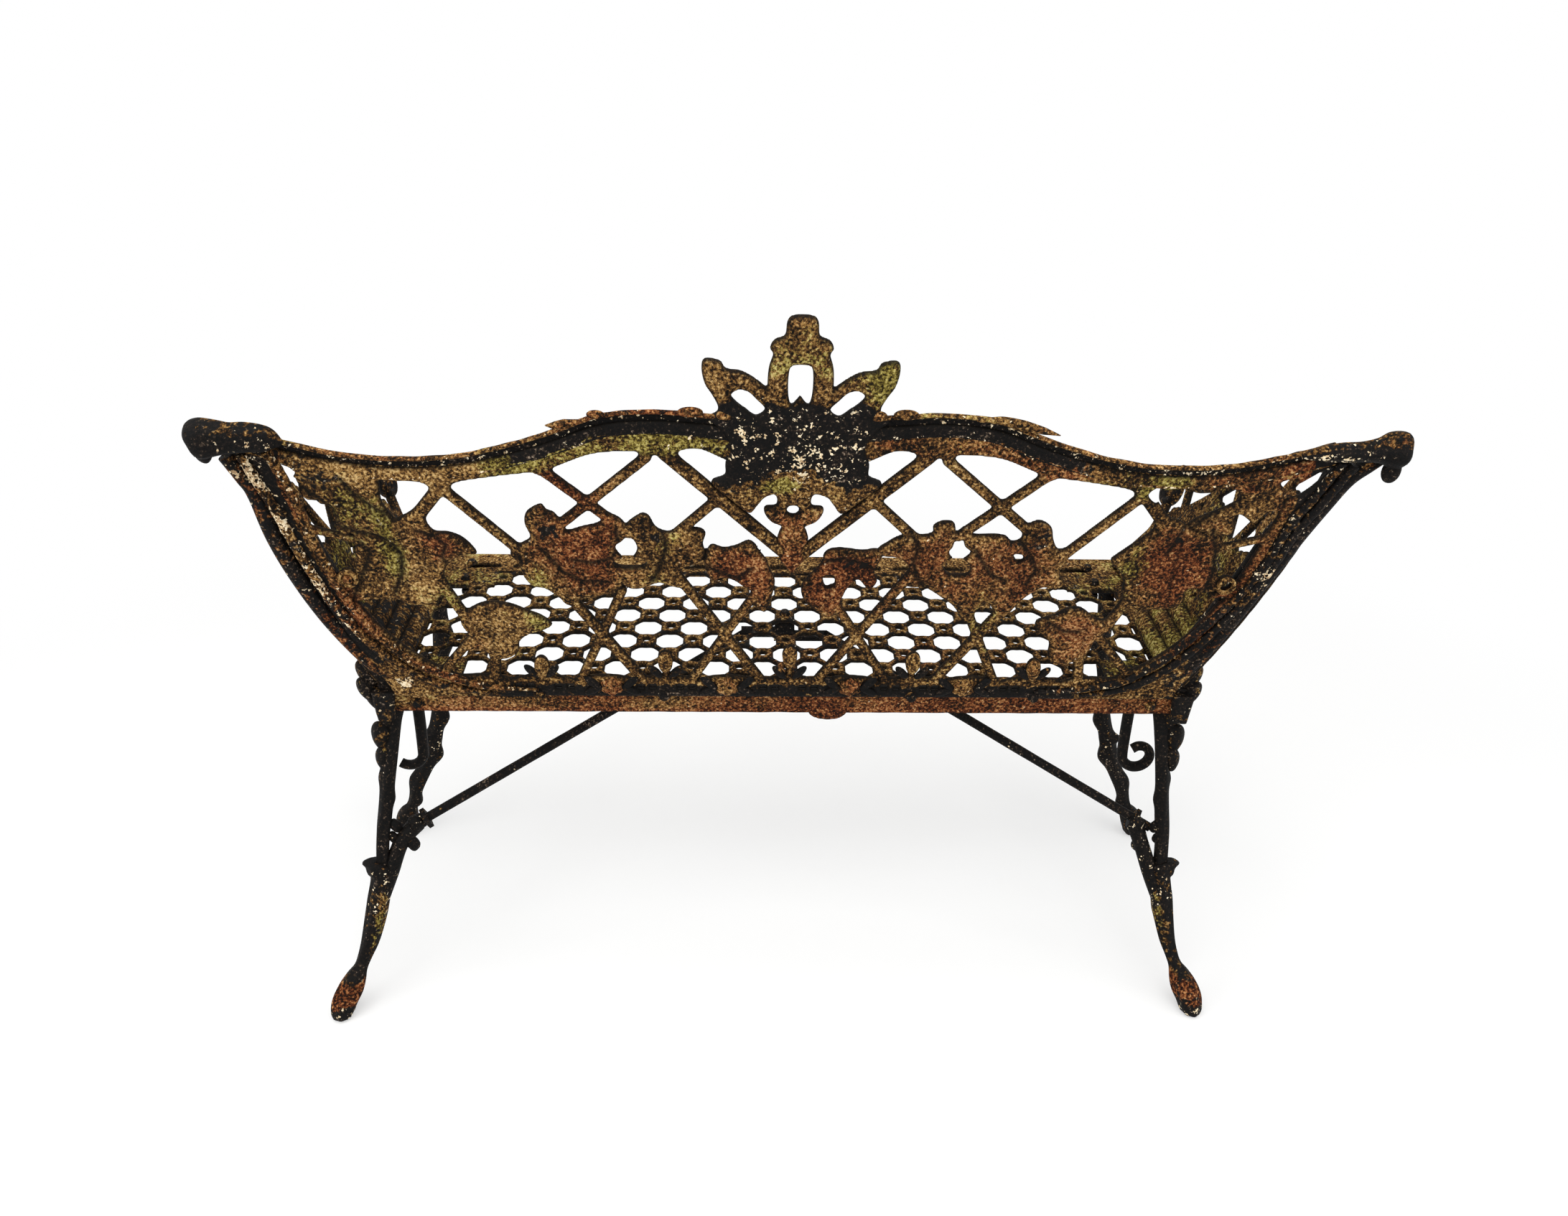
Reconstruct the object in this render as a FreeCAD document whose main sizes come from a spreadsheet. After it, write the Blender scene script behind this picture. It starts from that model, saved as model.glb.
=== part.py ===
import FreeCAD, Part
import math
import os
from types import SimpleNamespace

from FreeCAD import Placement, Rotation, Vector

# Cast iron garden bench: a pierced seat, a vine-leaf back, two bowed arms, four
# splayed legs and two brace rods, bolted together. Millimetres, +Z up, front
# towards -Y. The upper castings are drawn in the frame of the seat, which pitches
# back, with its origin on the middle of the seat's upper rear edge.

SIZES = {
    # seat casting
    "seat_length": (990, "seat along X"),
    "seat_depth": (315, "seat from its rear edge to its front skirt"),
    "seat_rear_height": (417, "floor to the seat's upper rear edge"),
    "seat_pitch": (7, "degrees that the seat falls towards the back"),
    "seat_plate": (8, "thickness of the pierced plate"),
    "skirt_wall": (8, "wall of the side and front skirts"),
    "skirt_height": (30, "drop of the side and front skirts"),
    "apron_wall": (8, "wall of the rear apron"),
    "apron_height": (42, "drop of the rear apron"),
    "front_bead": (16, "diameter of the rounded front edge"),
    "hole_pitch": (60, "pitch of the large openings along a row"),
    "hole_width": (34, "large opening across its flats"),
    "ring_bore": (9, "small hole between the large openings"),
    "rear_margin": (45, "rear edge to the middle of the last row"),
    "slot_length": (40, "slots behind the front edge, along X"),
    "slot_width": (9, "slots behind the front edge, across"),
    "slot_setback": (28, "front skirt to the middle of the slots"),
    "boss_width": (26, "square brace boss under a ring of the plate"),
    "boss_depth": (18, "brace boss below the plate"),
    "screw_boss": (22, "block behind each back screw, along X and down"),
    "screw_boss_depth": (16, "block behind each back screw, inwards"),
    "apron_lug_radius": (11, "round lug on the apron's lower edge"),
    "apron_lug_place": (-50, "place of the round lug along X"),
    # back casting
    "back_lean": (12, "degrees that the back leans from upright"),
    "back_height": (378, "seat to the top of the rail, up the panel"),
    "back_plate": (8, "thickness of rails and lattice"),
    "leaf_plate": (10, "thickness of leaves and crest"),
    "rail_bead": (9, "width of the raised edge on the rail"),
    "rail_bead_depth": (15, "depth of the raised edge on the rail"),
    "bar_width": (12, "lattice bars"),
    "fork_width": (18, "bars of the fork below the crest"),
    "side_bar_width": (34, "bar along each side of the back"),
    "foot_rail_up": (24, "foot rail above the seat's edge"),
    "foot_rail_down": (14, "foot rail below the seat's edge"),
    "knob_radius": (23, "ball at each end of the top rail"),
    "roll_radius": (16, "rolled end of the top rail"),
    "roll_length": (56, "rolled end, inwards from the ball"),
    "knob_out": (5, "middle of the ball outside the arm's top"),
    "knob_height": (339, "middle of the ball up the panel"),
    "knob_setback": (18, "middle of the ball behind the panel's front"),
    # arm castings
    "arm_height": (330, "height over which the arm bows out"),
    "arm_flare": (92, "how far the arm's top stands outside its foot"),
    "arm_bow": (14, "bulge of the arm's outside"),
    "arm_wall": (8, "thickness of the arm's openwork"),
    "arm_flange": (8, "arm's foot and rear flange"),
    "arm_reveal": (24, "arm seen outside the back's edge"),
    "arm_rail": (16, "thickness of the arm's rail"),
    "arm_post": (18, "width of the arm's front post"),
    "arm_twig": (12, "width of the arm's twigs"),
    "scroll_radius": (26, "round end of the arm rail"),
    "scroll_bore": (10, "radius of the hole in the round end"),
    "fan_height": (76, "fan leaf in the arm's rear corner, above the seat"),
    "fan_foot": (29, "foot of the fan leaf inside the seat's end"),
    "fan_setback": (48, "rear edge to the fan leaf"),
    "fan_length": (100, "fan leaf from back to front"),
    "fan_plate": (14, "foot of the fan leaf, across"),
    # legs and braces
    "leg_flange": (8, "leg's flange under the seat"),
    "flange_length": (73, "leg's flange along X"),
    "flange_width": (60, "leg's flange from front to back"),
    "flange_gap": (2, "leg's flange to the skirts"),
    "shank_inset": (25, "seat's end to the top of the leg's shank"),
    "rear_foot_out": (54, "rear foot outside the seat's end"),
    "rear_foot_back": (116, "rear foot behind the seat's rear edge"),
    "front_foot_out": (73, "front foot outside the seat's end"),
    "front_foot_back": (49, "front foot behind the seat's front skirt"),
    "curl_radius": (24, "curl of the bracket beside the rear leg"),
    "curl_bore": (11, "radius of the hole in that curl"),
    "curl_bar": (12, "bar of that bracket"),
    "curl_place": (10, "bar of that bracket, inwards from the middle of the flange"),
    "curl_drop": (110, "flange to the middle of the curl"),
    "lug_in": (33, "knee to the brace lug, inwards"),
    "lug_forward": (26, "knee to the brace lug, forwards"),
    "lug_up": (28, "knee to the brace lug, upwards"),
    "lug_radius": (14, "brace lug"),
    "lug_length": (20, "brace lug along the rod"),
    "brace_diameter": (12, "brace rod"),
    "brace_pad": (6, "flat end of the brace rod"),
    "brace_pad_width": (24, "flat end of the brace rod, across"),
    "brace_pad_length": (72, "flat end of the brace rod, along X"),
    "brace_pad_lap": (14, "flat end past the bolt that both rods share"),
    # fasteners
    "bolt_diameter": (8, "every bolt"),
    "bolt_clearance": (0.6, "bolt hole over the bolt, and nut over the thread"),
    "head_diameter": (15, "bolt head"),
    "head_height": (5, "bolt head"),
    "nut_width": (14, "square nut"),
    "nut_height": (6, "square nut"),
    "thread_proud": (2, "thread past its nut"),
    "brace_nut_width": (20, "square nut on the brace rod"),
    "part_clearance": (0.5, "room between castings that are not bolted"),
}

doc = FreeCAD.newDocument("garden_bench")
sheet = doc.addObject("Spreadsheet::Sheet", "sizes")
for row, (alias, (value, note)) in enumerate(SIZES.items(), start=1):
    sheet.set("A%d" % row, note)
    sheet.set("B%d" % row, str(value))
    sheet.setAlias("B%d" % row, alias)
doc.recompute()
size = SimpleNamespace(**{alias: float(sheet.get(alias)) for alias in SIZES})

# The ornament is drawn for these sizes and stretches with the castings it fills.
DRAWN_HALF_LENGTH = 495.0
DRAWN_BACK_HEIGHT = 378.0
DRAWN_SEAT_DEPTH = 315.0
DRAWN_ARM_HEIGHT = 330.0

half_length = size.seat_length / 2
x_axis = Vector(1, 0, 0)
seat_frame = Placement(Vector(0, 0, size.seat_rear_height), Rotation(x_axis, -size.seat_pitch))
lean_on_seat = size.back_lean - size.seat_pitch
# In the back's own frame x runs along X, y up the panel and z towards the front.
back_on_seat = Placement(Vector(), Rotation(x_axis, 90 - lean_on_seat))
back_frame = seat_frame * back_on_seat
mirror_plane = (Vector(), x_axis)
nodes = []


def primitive(kind, name, **formulas):
    """A primitive whose sizes, and whose place x, y, z, are bound to the sheet."""
    made = doc.addObject(kind, name)
    for key, formula in formulas.items():
        path = "Placement.Base." + key if key in ("x", "y", "z") else key
        made.setExpression(path, formula)
    return made


def combine(kind, name, place, **links):
    """A boolean or compound of other objects, kept as a node of the bench."""
    made = doc.addObject(kind, name)
    for key, linked in links.items():
        setattr(made, key, linked)
    made.Placement = place
    nodes.append(made)
    return made


def casting(name, shape, place):
    """A casting whose shape is worked out here, kept as a node of the bench."""
    made = doc.addObject("Part::Feature", name)
    made.Shape = shape
    made.Placement = place
    nodes.append(made)
    return made


def mirrored(shape):
    return shape.mirror(*mirror_plane)


def placed(shape, place):
    moved = shape.copy()
    moved.Placement = place * moved.Placement
    return moved


def one_solid(shapes):
    """The union of overlapping solids, cleaned of seams."""
    joined = shapes[0].multiFuse(shapes[1:]).removeSplitter()
    return joined.Solids[0] if len(joined.Solids) == 1 else joined


def polygon(points):
    corners = [Vector(*point) for point in points]
    return Part.Face(Part.makePolygon(corners + corners[:1]))


def bar(start, end, width):
    """A straight bar of a width between two points of the x-y plane, with its ends overrun."""
    a = Vector(*start)
    b = Vector(*end)
    along = (b - a).normalize()
    across = Vector(-along.y, along.x, 0) * (width / 2)
    a = a - along * (width / 3)
    b = b + along * (width / 3)
    return Part.Face(Part.makePolygon([a + across, b + across, b - across, a - across, a + across]))


def band(upper, lower):
    """The face between two smooth edges that run the same way."""
    edges = []
    for points in (upper, lower):
        curve = Part.BSplineCurve()
        curve.interpolate([Vector(*point) for point in points])
        edges.append(curve.toShape())
    edges.append(Part.makeLine(Vector(*upper[0]), Vector(*lower[0])))
    edges.append(Part.makeLine(Vector(*upper[-1]), Vector(*lower[-1])))
    return Part.Face(Part.Wire(Part.__sortEdges__(edges)))


def leaf(x, y, reach, turn):
    """A five-lobed vine leaf: broad lobes a fifth of a turn apart, with a narrow notch between two."""
    points = []
    for step in range(40):
        angle = math.radians(9 * step)
        radius = reach * (0.62 + 0.38 * abs(math.cos(2.5 * angle)) ** 0.7)
        heading = angle + math.radians(turn)
        points.append((x + radius * math.cos(heading), y + radius * math.sin(heading), 0))
    return polygon(points)


def disc(x, y, radius):
    return Part.Face(Part.Wire(Part.makeCircle(radius, Vector(x, y, 0))))


def slab(faces, low, high):
    """The union of overlapping faces of the x-y plane, raised between two levels of z."""
    solids = []
    for face in faces:
        raised = face.copy()
        raised.translate(Vector(0, 0, low))
        solids.append(raised.extrude(Vector(0, 0, high - low)))
    return solids[0].multiFuse(solids[1:]).removeSplitter() if len(solids) > 1 else solids[0]


def both_sides(points_list):
    """Each list of points with its mirror image across x = 0."""
    for points in points_list:
        yield points
        yield [(-x, y) for x, y in points]


# The arm's outside is an arc across the seat's end, bulging outwards.
arm_foot = half_length + size.arm_flange
chord = math.hypot(size.arm_flare, size.arm_height)
bow_radius = (chord ** 2 / 4 + size.arm_bow ** 2) / (2 * size.arm_bow)
bow_reach = bow_radius - size.arm_bow
bow_x = arm_foot + size.arm_flare / 2 - bow_reach * size.arm_height / chord
bow_height = size.arm_height / 2 + bow_reach * size.arm_flare / chord


def bow(height, inset=0.0):
    """X of the arm's outside at a height above the seat, or of a curve inside it."""
    return bow_x + math.sqrt((bow_radius - inset) ** 2 - (height - bow_height) ** 2)


def bow_face(outer_inset, inner_inset, low, high):
    """The face between two such curves, in the x-y plane, with y as the height."""
    edges = []
    for inset in (outer_inset, inner_inset):
        stations = [Vector(bow(y, inset), y, 0) for y in (low, (low + high) / 2, high)]
        edges.append(Part.Arc(*stations).toShape())
    for height in (low, high):
        ends = [Vector(bow(height, inset), height, 0) for inset in (outer_inset, inner_inset)]
        edges.append(Part.makeLine(*ends))
    return Part.Face(Part.Wire(Part.__sortEdges__(edges)))


# Places of the fasteners: the head seats at the origin and the shank runs along +z.
def into_panel(x, y, z):
    """A fastener driven forwards through the back or the apron."""
    return back_frame * Placement(Vector(x, y, z), Rotation())


def down_through_seat(x, y):
    return seat_frame * Placement(Vector(x, y, 0), Rotation(x_axis, 180))


def into_side(x, y, z):
    """A fastener driven inwards through the arm's foot and the side skirt."""
    turn = -90 if x > 0 else 90
    return seat_frame * Placement(Vector(x, y, z), Rotation(Vector(0, 1, 0), turn))


screw_drop = 6.0
apron_bolt_drop = size.seat_plate + size.leg_flange + size.nut_width / 2 + 3
apron_bolt_inset = 43.0
skirt_bolt_drop = 19.0
side_bar_inset = size.arm_reveal + size.side_bar_width / 2 - 4
panel_stretch = half_length / DRAWN_HALF_LENGTH
back_stretch = size.back_height / DRAWN_BACK_HEIGHT
depth_stretch = size.seat_depth / DRAWN_SEAT_DEPTH
arm_stretch = size.arm_height / DRAWN_ARM_HEIGHT
shank_x = half_length - size.shank_inset
flange_x = half_length - size.skirt_wall - size.flange_gap - size.flange_length / 2
rear_flange_y = -(size.apron_wall + size.leg_flange / 2 + size.flange_width / 2)
front_flange_y = -(size.seat_depth - size.skirt_wall - size.flange_gap - size.flange_width / 2 - 4)
# The brace bolt goes down through a ring in the middle of the seat.
boss_y = -(size.rear_margin + 2 * size.hole_pitch)

screw_places = [into_panel(x * panel_stretch, -screw_drop, -size.back_plate)
                for x in (-300, -150, 150, 300)]
apron_places = [into_panel(side * (half_length - apron_bolt_inset), -apron_bolt_drop, 0)
                for side in (-1, 1)]
arm_back_places = []
arm_seat_places = []
leg_places = []
brace_places = [down_through_seat(0, boss_y)]
for side in (-1, 1):
    for share in (0.33, 0.76):
        height = share * size.arm_height
        arm_back_places.append(into_panel(side * bow(height, side_bar_inset), height, -size.back_plate))
    for share in (0.36, 0.66):
        arm_seat_places.append(into_side(side * arm_foot, -share * size.seat_depth, -skirt_bolt_drop))
    leg_places.append(down_through_seat(side * (half_length - 43), rear_flange_y - 18))
    for step in (-20, 20):
        leg_places.append(down_through_seat(side * (flange_x - 8), front_flange_y + step))

hole_radius = (size.bolt_diameter + size.bolt_clearance) / 2


def bolt_holes(places, reach):
    """Clearance holes along fasteners, from just outside the head to a reach past it."""
    overrun = Vector(0, 0, -1)
    return [placed(Part.makeCylinder(hole_radius, reach + 2, overrun), place) for place in places]


def in_seat(shapes):
    """World shapes brought into the frame of the seat."""
    return [placed(shape, seat_frame.inverse()) for shape in shapes]


# Seat casting: pierced plate, skirts, rear apron, rounded front edge and bosses.
seat_blocks = [
    primitive("Part::Box", "plate_block", Length="sizes.seat_length", Width="sizes.seat_depth - 4",
              Height="sizes.seat_plate", x="-sizes.seat_length / 2", y="-sizes.seat_depth",
              z="-sizes.seat_plate"),
    primitive("Part::Box", "front_skirt", Length="sizes.seat_length", Width="sizes.skirt_wall",
              Height="sizes.skirt_height", x="-sizes.seat_length / 2", y="-sizes.seat_depth",
              z="-sizes.skirt_height"),
    primitive("Part::Box", "brace_boss", Length="sizes.boss_width", Width="sizes.boss_width",
              Height="sizes.boss_depth + sizes.seat_plate / 2", x="-sizes.boss_width / 2",
              y="-sizes.rear_margin - 2 * sizes.hole_pitch - sizes.boss_width / 2",
              z="-sizes.seat_plate - sizes.boss_depth"),
]
for name, edge in (("right_skirt", "-sizes.seat_length / 2"),
                   ("left_skirt", "sizes.seat_length / 2 - sizes.skirt_wall")):
    seat_blocks.append(primitive("Part::Box", name, Length="sizes.skirt_wall",
                                 Width="sizes.seat_depth - sizes.apron_wall",
                                 Height="sizes.skirt_height", x=edge, y="-sizes.seat_depth",
                                 z="-sizes.skirt_height"))
front_bead = primitive("Part::Cylinder", "front_edge", Radius="sizes.front_bead / 2",
                       Height="sizes.seat_length", x="-sizes.seat_length / 2",
                       y="-sizes.seat_depth", z="-sizes.front_bead / 2")
front_bead.Placement.Rotation = Rotation(Vector(0, 1, 0), 90)
seat_blocks.append(front_bead)
apron = primitive("Part::Box", "apron", Length="sizes.seat_length", Width="sizes.apron_height",
                  Height="sizes.apron_wall", x="-sizes.seat_length / 2",
                  y="-sizes.apron_height * sin(sizes.back_lean - sizes.seat_pitch)",
                  z="-sizes.apron_height * cos(sizes.back_lean - sizes.seat_pitch)")
apron.Placement.Rotation = back_on_seat.Rotation
apron_lug = primitive("Part::Cylinder", "apron_lug", Radius="sizes.apron_lug_radius",
                      Height="sizes.apron_wall", x="sizes.apron_lug_place",
                      y="-sizes.apron_height * sin(sizes.back_lean - sizes.seat_pitch)",
                      z="-sizes.apron_height * cos(sizes.back_lean - sizes.seat_pitch)")
apron_lug.Placement.Rotation = back_on_seat.Rotation
seat_blocks += [apron, apron_lug]
for number, place in enumerate(screw_places, start=1):
    block = primitive("Part::Box", "screw_boss_%d" % number, Length="sizes.screw_boss",
                      Width="sizes.screw_boss_depth", Height="sizes.screw_boss")
    seat_point = seat_frame.inverse().multVec(place.Base)
    block.Placement.Base = Vector(seat_point.x - size.screw_boss / 2,
                                  -size.apron_wall / 2 - size.screw_boss_depth, -size.screw_boss)
    seat_blocks.append(block)
seat_body = doc.addObject("Part::MultiFuse", "seat_body")
seat_body.Shapes = seat_blocks

# Openings: octagons and small round holes alternate like the squares of a chequered board.
step = size.hole_pitch / 2
flat = size.hole_width / 2
corner = flat * math.tan(math.radians(22.5))
octagon = [(flat, corner), (corner, flat), (-corner, flat), (-flat, corner),
           (-flat, -corner), (-corner, -flat), (corner, -flat), (flat, -corner)]
rows = int((size.seat_depth - size.rear_margin - size.slot_setback - flat - size.slot_width) / step) + 1
columns = int((half_length - size.skirt_wall - flat - 2) / step)
through = Vector(0, 0, 2 * size.seat_plate)
cutters = []


def on_solid_ground(x, y):
    """True where the plate stays whole, over the leg flanges."""
    over_leg = abs(x) > flange_x - size.flange_length / 2 - flat
    near_back = y > rear_flange_y - size.flange_width / 2 - flat
    near_front = y < front_flange_y + size.flange_width / 2 + flat
    return over_leg and (near_back or near_front)


for row in range(rows):
    y = -size.rear_margin - row * step
    for column in range(-columns, columns + 1):
        x = column * step
        if on_solid_ground(x, y):
            continue
        if (row + column) % 2:
            corners = [(x + dx, y + dy, -1.5 * size.seat_plate) for dx, dy in octagon]
            cutter = polygon(corners).extrude(through)
        else:
            cutter = Part.makeCylinder(size.ring_bore / 2, through.z, Vector(x, y, -1.5 * size.seat_plate))
        cutters.append(cutter)
slot_y = -size.seat_depth + size.slot_setback - size.slot_width / 2
for column in range(-columns // 2 + 1, columns // 2):
    x = column * size.hole_pitch
    if abs(x) < flange_x - size.flange_length / 2 - size.slot_length / 2:
        slot_corner = Vector(x - size.slot_length / 2, slot_y, -1.5 * size.seat_plate)
        cutters.append(Part.makeBox(size.slot_length, size.slot_width, through.z, slot_corner))
cutters += in_seat(bolt_holes(screw_places, size.back_plate + size.apron_wall + size.screw_boss_depth))
cutters += in_seat(bolt_holes(apron_places, size.apron_wall))
cutters += in_seat(bolt_holes(arm_seat_places, size.arm_flange + size.skirt_wall))
cutters += in_seat(bolt_holes(leg_places, size.seat_plate))
cutters += in_seat(bolt_holes(brace_places, size.seat_plate + size.boss_depth))
openings = doc.addObject("Part::Feature", "seat_openings")
openings.Shape = Part.Compound(cutters)
combine("Part::Cut", "seat", seat_frame, Base=seat_body, Tool=openings)

# Back casting, drawn in its own frame as overlapping faces of two thicknesses.


def on_back(points):
    """Drawn points of the back stretched to the real panel."""
    return [(x * panel_stretch, y * back_stretch, 0) for x, y in points]


rail_top = [(0, 371), (80, 374), (150, 378), (205, 372), (255, 352), (310, 334), (360, 323),
            (410, 320), (460, 323), (510, 334), (560, 350)]
rail_foot = [(0, 318), (80, 332), (112, 338), (144, 326), (200, 329), (262, 306), (330, 296), (375, 284),
             (420, 289), (480, 293), (530, 300), (560, 316)]
fork = [(135, 325), (5, 199)]
lattice = [
    [(266, 306), (180, 228)], [(158, 322), (265, 228)], [(80, 276), (135, 222)],
    [(374, 284), (300, 203)], [(374, 284), (410, 240)], [(132, 176), (28, 8)], [(40, 150), (122, 8)],
    [(254, 145), (170, 8)], [(192, 150), (252, 8)], [(392, 158), (368, 100)], [(345, 60), (352, 8)],
    [(470, 215), (530, 232)], [(440, 240), (468, 298)], [(482, 150), (520, 158)], [(370, 80), (415, 22)],
]
left_leaves = [
    [(392, 262), (396, 245), (390, 229), (374, 227), (360, 220), (350, 207), (348, 199), (362, 198),
     (378, 188), (387, 172), (386, 152), (396, 140), (408, 131), (430, 128), (446, 137), (462, 136),
     (482, 134), (497, 138), (490, 157), (482, 180), (478, 205), (474, 222), (486, 230), (478, 242),
     (458, 250), (440, 240), (424, 246), (408, 254)],
    [(376, 114), (360, 127), (343, 133), (320, 130), (300, 120), (286, 113), (275, 101), (287, 92),
     (303, 86), (315, 75), (318, 60), (331, 50), (347, 50), (358, 60), (380, 64), (371, 80), (378, 99)],
    [(272, 264), (287, 255), (291, 240), (287, 222), (300, 212), (311, 200), (303, 187), (300, 170),
     (291, 156), (278, 153), (264, 141), (254, 130), (236, 140), (216, 143), (200, 150), (190, 160),
     (180, 185), (186, 192), (196, 209), (186, 220), (182, 232), (188, 246), (200, 251), (213, 241),
     (230, 236), (247, 231), (252, 241), (258, 253), (266, 257)],
    [(170, 251), (180, 243), (186, 232), (177, 222), (172, 209), (178, 196), (192, 186), (190, 160),
     (178, 153), (165, 156), (150, 162), (138, 158), (126, 156), (128, 170), (122, 182), (106, 190),
     (98, 202), (100, 216), (97, 230), (106, 236), (120, 233), (136, 230), (150, 236), (157, 250),
     (164, 254)],
    [(98, 200), (91, 214), (78, 210), (64, 213), (50, 220), (40, 212), (32, 200), (26, 182), (20, 165),
     (24, 140), (30, 122), (42, 130), (46, 150), (56, 158), (66, 166), (78, 170), (90, 166), (98, 182)],
    [(535, 315), (521, 293), (519, 271), (501, 262), (492, 256), (493, 233), (482, 223), (472, 229),
     (443, 225), (429, 241), (438, 263), (438, 295)],
]
right_leaves = [
    [(395, 256), (402, 256), (420, 252), (436, 241), (448, 238), (466, 235), (476, 220), (473, 200),
     (481, 180), (486, 160), (470, 154), (452, 156), (447, 136), (430, 130), (410, 130), (396, 131),
     (386, 140), (377, 152), (375, 170), (369, 181), (355, 197), (361, 206), (376, 221), (386, 231),
     (393, 240)],
    [(285, 110), (305, 120), (320, 130), (335, 130), (355, 115), (375, 112), (367, 100), (360, 85),
     (355, 65), (347, 55), (330, 45), (315, 45), (307, 60), (305, 80), (290, 95)],
    [(262, 249), (252, 241), (249, 226), (240, 222), (232, 229), (220, 231), (196, 231), (184, 238),
     (188, 216), (196, 207), (186, 196), (176, 200), (172, 208), (176, 218), (174, 244), (162, 248),
     (151, 242), (150, 232), (131, 228), (116, 228), (101, 218), (93, 210), (100, 201), (118, 198),
     (131, 182), (131, 160), (150, 158), (168, 146), (186, 131), (198, 112), (206, 112), (222, 138),
     (236, 120), (246, 116), (262, 140), (272, 151), (285, 160), (300, 156), (308, 166), (300, 180),
     (305, 200), (303, 211), (292, 213), (285, 226), (281, 240), (272, 248)],
    [(35, 206), (50, 211), (75, 208), (92, 210), (98, 200), (91, 181), (95, 166), (86, 155), (73, 169),
     (62, 156), (56, 140), (46, 115), (28, 124), (13, 140), (10, 160), (20, 176), (30, 190)],
    [(460, 300), (477, 278), (430, 248), (460, 232), (476, 226), (482, 240), (479, 260), (499, 249),
     (512, 263), (525, 265), (526, 282), (523, 305)],
]
crest_loop = [(-31, 365), (-34, 420), (-30, 446), (-31, 456), (-17, 463), (-14, 480),
              (14, 480), (17, 463), (31, 456), (30, 446), (34, 420), (31, 365)]
crest_hole = [(-7, 386), (-12, 395), (-12, 420), (-6, 430), (6, 430), (12, 420), (12, 395), (7, 386)]
side_loop = [(26, 366), (36, 403), (66, 423), (97, 433), (98, 417), (88, 398), (80, 366)]
side_hole = [(40, 380), (47, 396), (64, 401), (71, 395), (56, 378)]
cartouche = [(-86, 370), (-70, 338), (-76, 314), (-76, 302), (-92, 294), (-49, 257), (-30, 279), (0, 284),
             (30, 279), (49, 257), (92, 294), (76, 302), (76, 314), (70, 338), (86, 370)]
fleur = [(0, 178), (14, 196), (12, 214), (16, 232), (13, 240), (24, 246), (31, 264), (20, 266), (19, 278),
         (0, 292), (-19, 278), (-20, 266), (-31, 264), (-24, 246), (-13, 240), (-16, 232), (-12, 214),
         (-14, 196)]
fleur_hole = (0, 261, 7)
corner_web = [(380, 4), (470, 4), (486, 70)]
buds = [(0, 60), (147, 52), (293, 43)]
rosettes = [74, 212]

plate_faces = []
bead_faces = []
leaf_faces = []
for side in (1, -1):
    upper = on_back([(side * x, y) for x, y in rail_top])
    lower = on_back([(side * x, y) for x, y in rail_foot])
    plate_faces.append(band(upper, lower))
    bead_faces.append(band(upper, [(x, y - size.rail_bead, z) for x, y, z in upper]))
    side_bar = bow_face(size.arm_reveal, size.arm_reveal + size.side_bar_width,
                        -size.foot_rail_down, size.arm_height - 6)
    plate_faces.append(side_bar if side > 0 else mirrored(side_bar))
for ends in both_sides(lattice):
    plate_faces.append(bar(*on_back(ends), size.bar_width))
for ends in both_sides([fork]):
    plate_faces.append(bar(*on_back(ends), size.fork_width))
foot_rail_end = bow(0, size.arm_reveal)
foot_rail_corner = Vector(-foot_rail_end, -size.foot_rail_down, 0)
foot_rail_height = size.foot_rail_up + size.foot_rail_down
plate_faces.append(Part.makePlane(2 * foot_rail_end, foot_rail_height, foot_rail_corner))
for outline in both_sides([corner_web]):
    plate_faces.append(polygon(on_back(outline)))
for side, outlines in ((1, left_leaves), (-1, right_leaves)):
    for outline in outlines:
        leaf_faces.append(polygon(on_back([(side * x, y) for x, y in outline])))
leaf_faces.append(polygon(on_back(crest_loop)).cut(polygon(on_back(crest_hole))))
for outline, hole in zip(both_sides([side_loop]), both_sides([side_hole])):
    leaf_faces.append(polygon(on_back(outline)).cut(polygon(on_back(hole))))
leaf_faces.append(polygon(on_back(cartouche)))
rail_middle = (size.foot_rail_up - size.foot_rail_down) / 2
eyelets = []
for x, y in buds:
    for side in ((1, -1) if x else (1,)):
        stem = on_back([(side * x, 10), (side * x, y)])
        leaf_faces.append(bar(*stem, 0.7 * size.bar_width))
        leaf_faces.append(disc(stem[1][0], stem[1][1], 0.8 * size.bar_width))
        for offset in (-32, -17, 17, 32):
            eyelet_corner = Vector(stem[0][0] + offset - 4, 2, -2 * size.back_plate)
            eyelets.append(Part.makeBox(8, 9, 4 * size.back_plate, eyelet_corner))
for x in rosettes:
    for side in (1, -1):
        leaf_faces.append(disc(side * x * panel_stretch, rail_middle + 3, size.bar_width))
fleur_x, fleur_y, fleur_radius = fleur_hole
fleur_face = polygon(on_back(fleur))
leaf_faces.append(fleur_face.cut(disc(fleur_x, fleur_y * back_stretch, fleur_radius)))

# The leaves stand proud of the plate, but not where the arms' rear flanges or the seat lie against it.
leaf_proud = (size.leaf_plate - size.back_plate) / 2
flange_top = size.arm_height - 40
flange_inside = size.arm_reveal + size.side_bar_width - 8
rear_flange = bow_face(size.arm_wall / 4, flange_inside, 4, flange_top)
flange_room = bow_face(size.arm_wall / 4 - size.part_clearance, flange_inside + size.part_clearance,
                       4 - size.part_clearance, flange_top + size.part_clearance)
flange_room = flange_room.extrude(Vector(0, 0, size.arm_flange))
seat_room = Part.makeBox(2 * foot_rail_end, size.apron_height + size.part_clearance, size.leaf_plate,
                         Vector(-foot_rail_end, -size.apron_height, 0))
leaf_layer = slab(leaf_faces, -size.back_plate - leaf_proud, leaf_proud)
leaf_layer = leaf_layer.cut([flange_room, mirrored(flange_room), seat_room])
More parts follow.
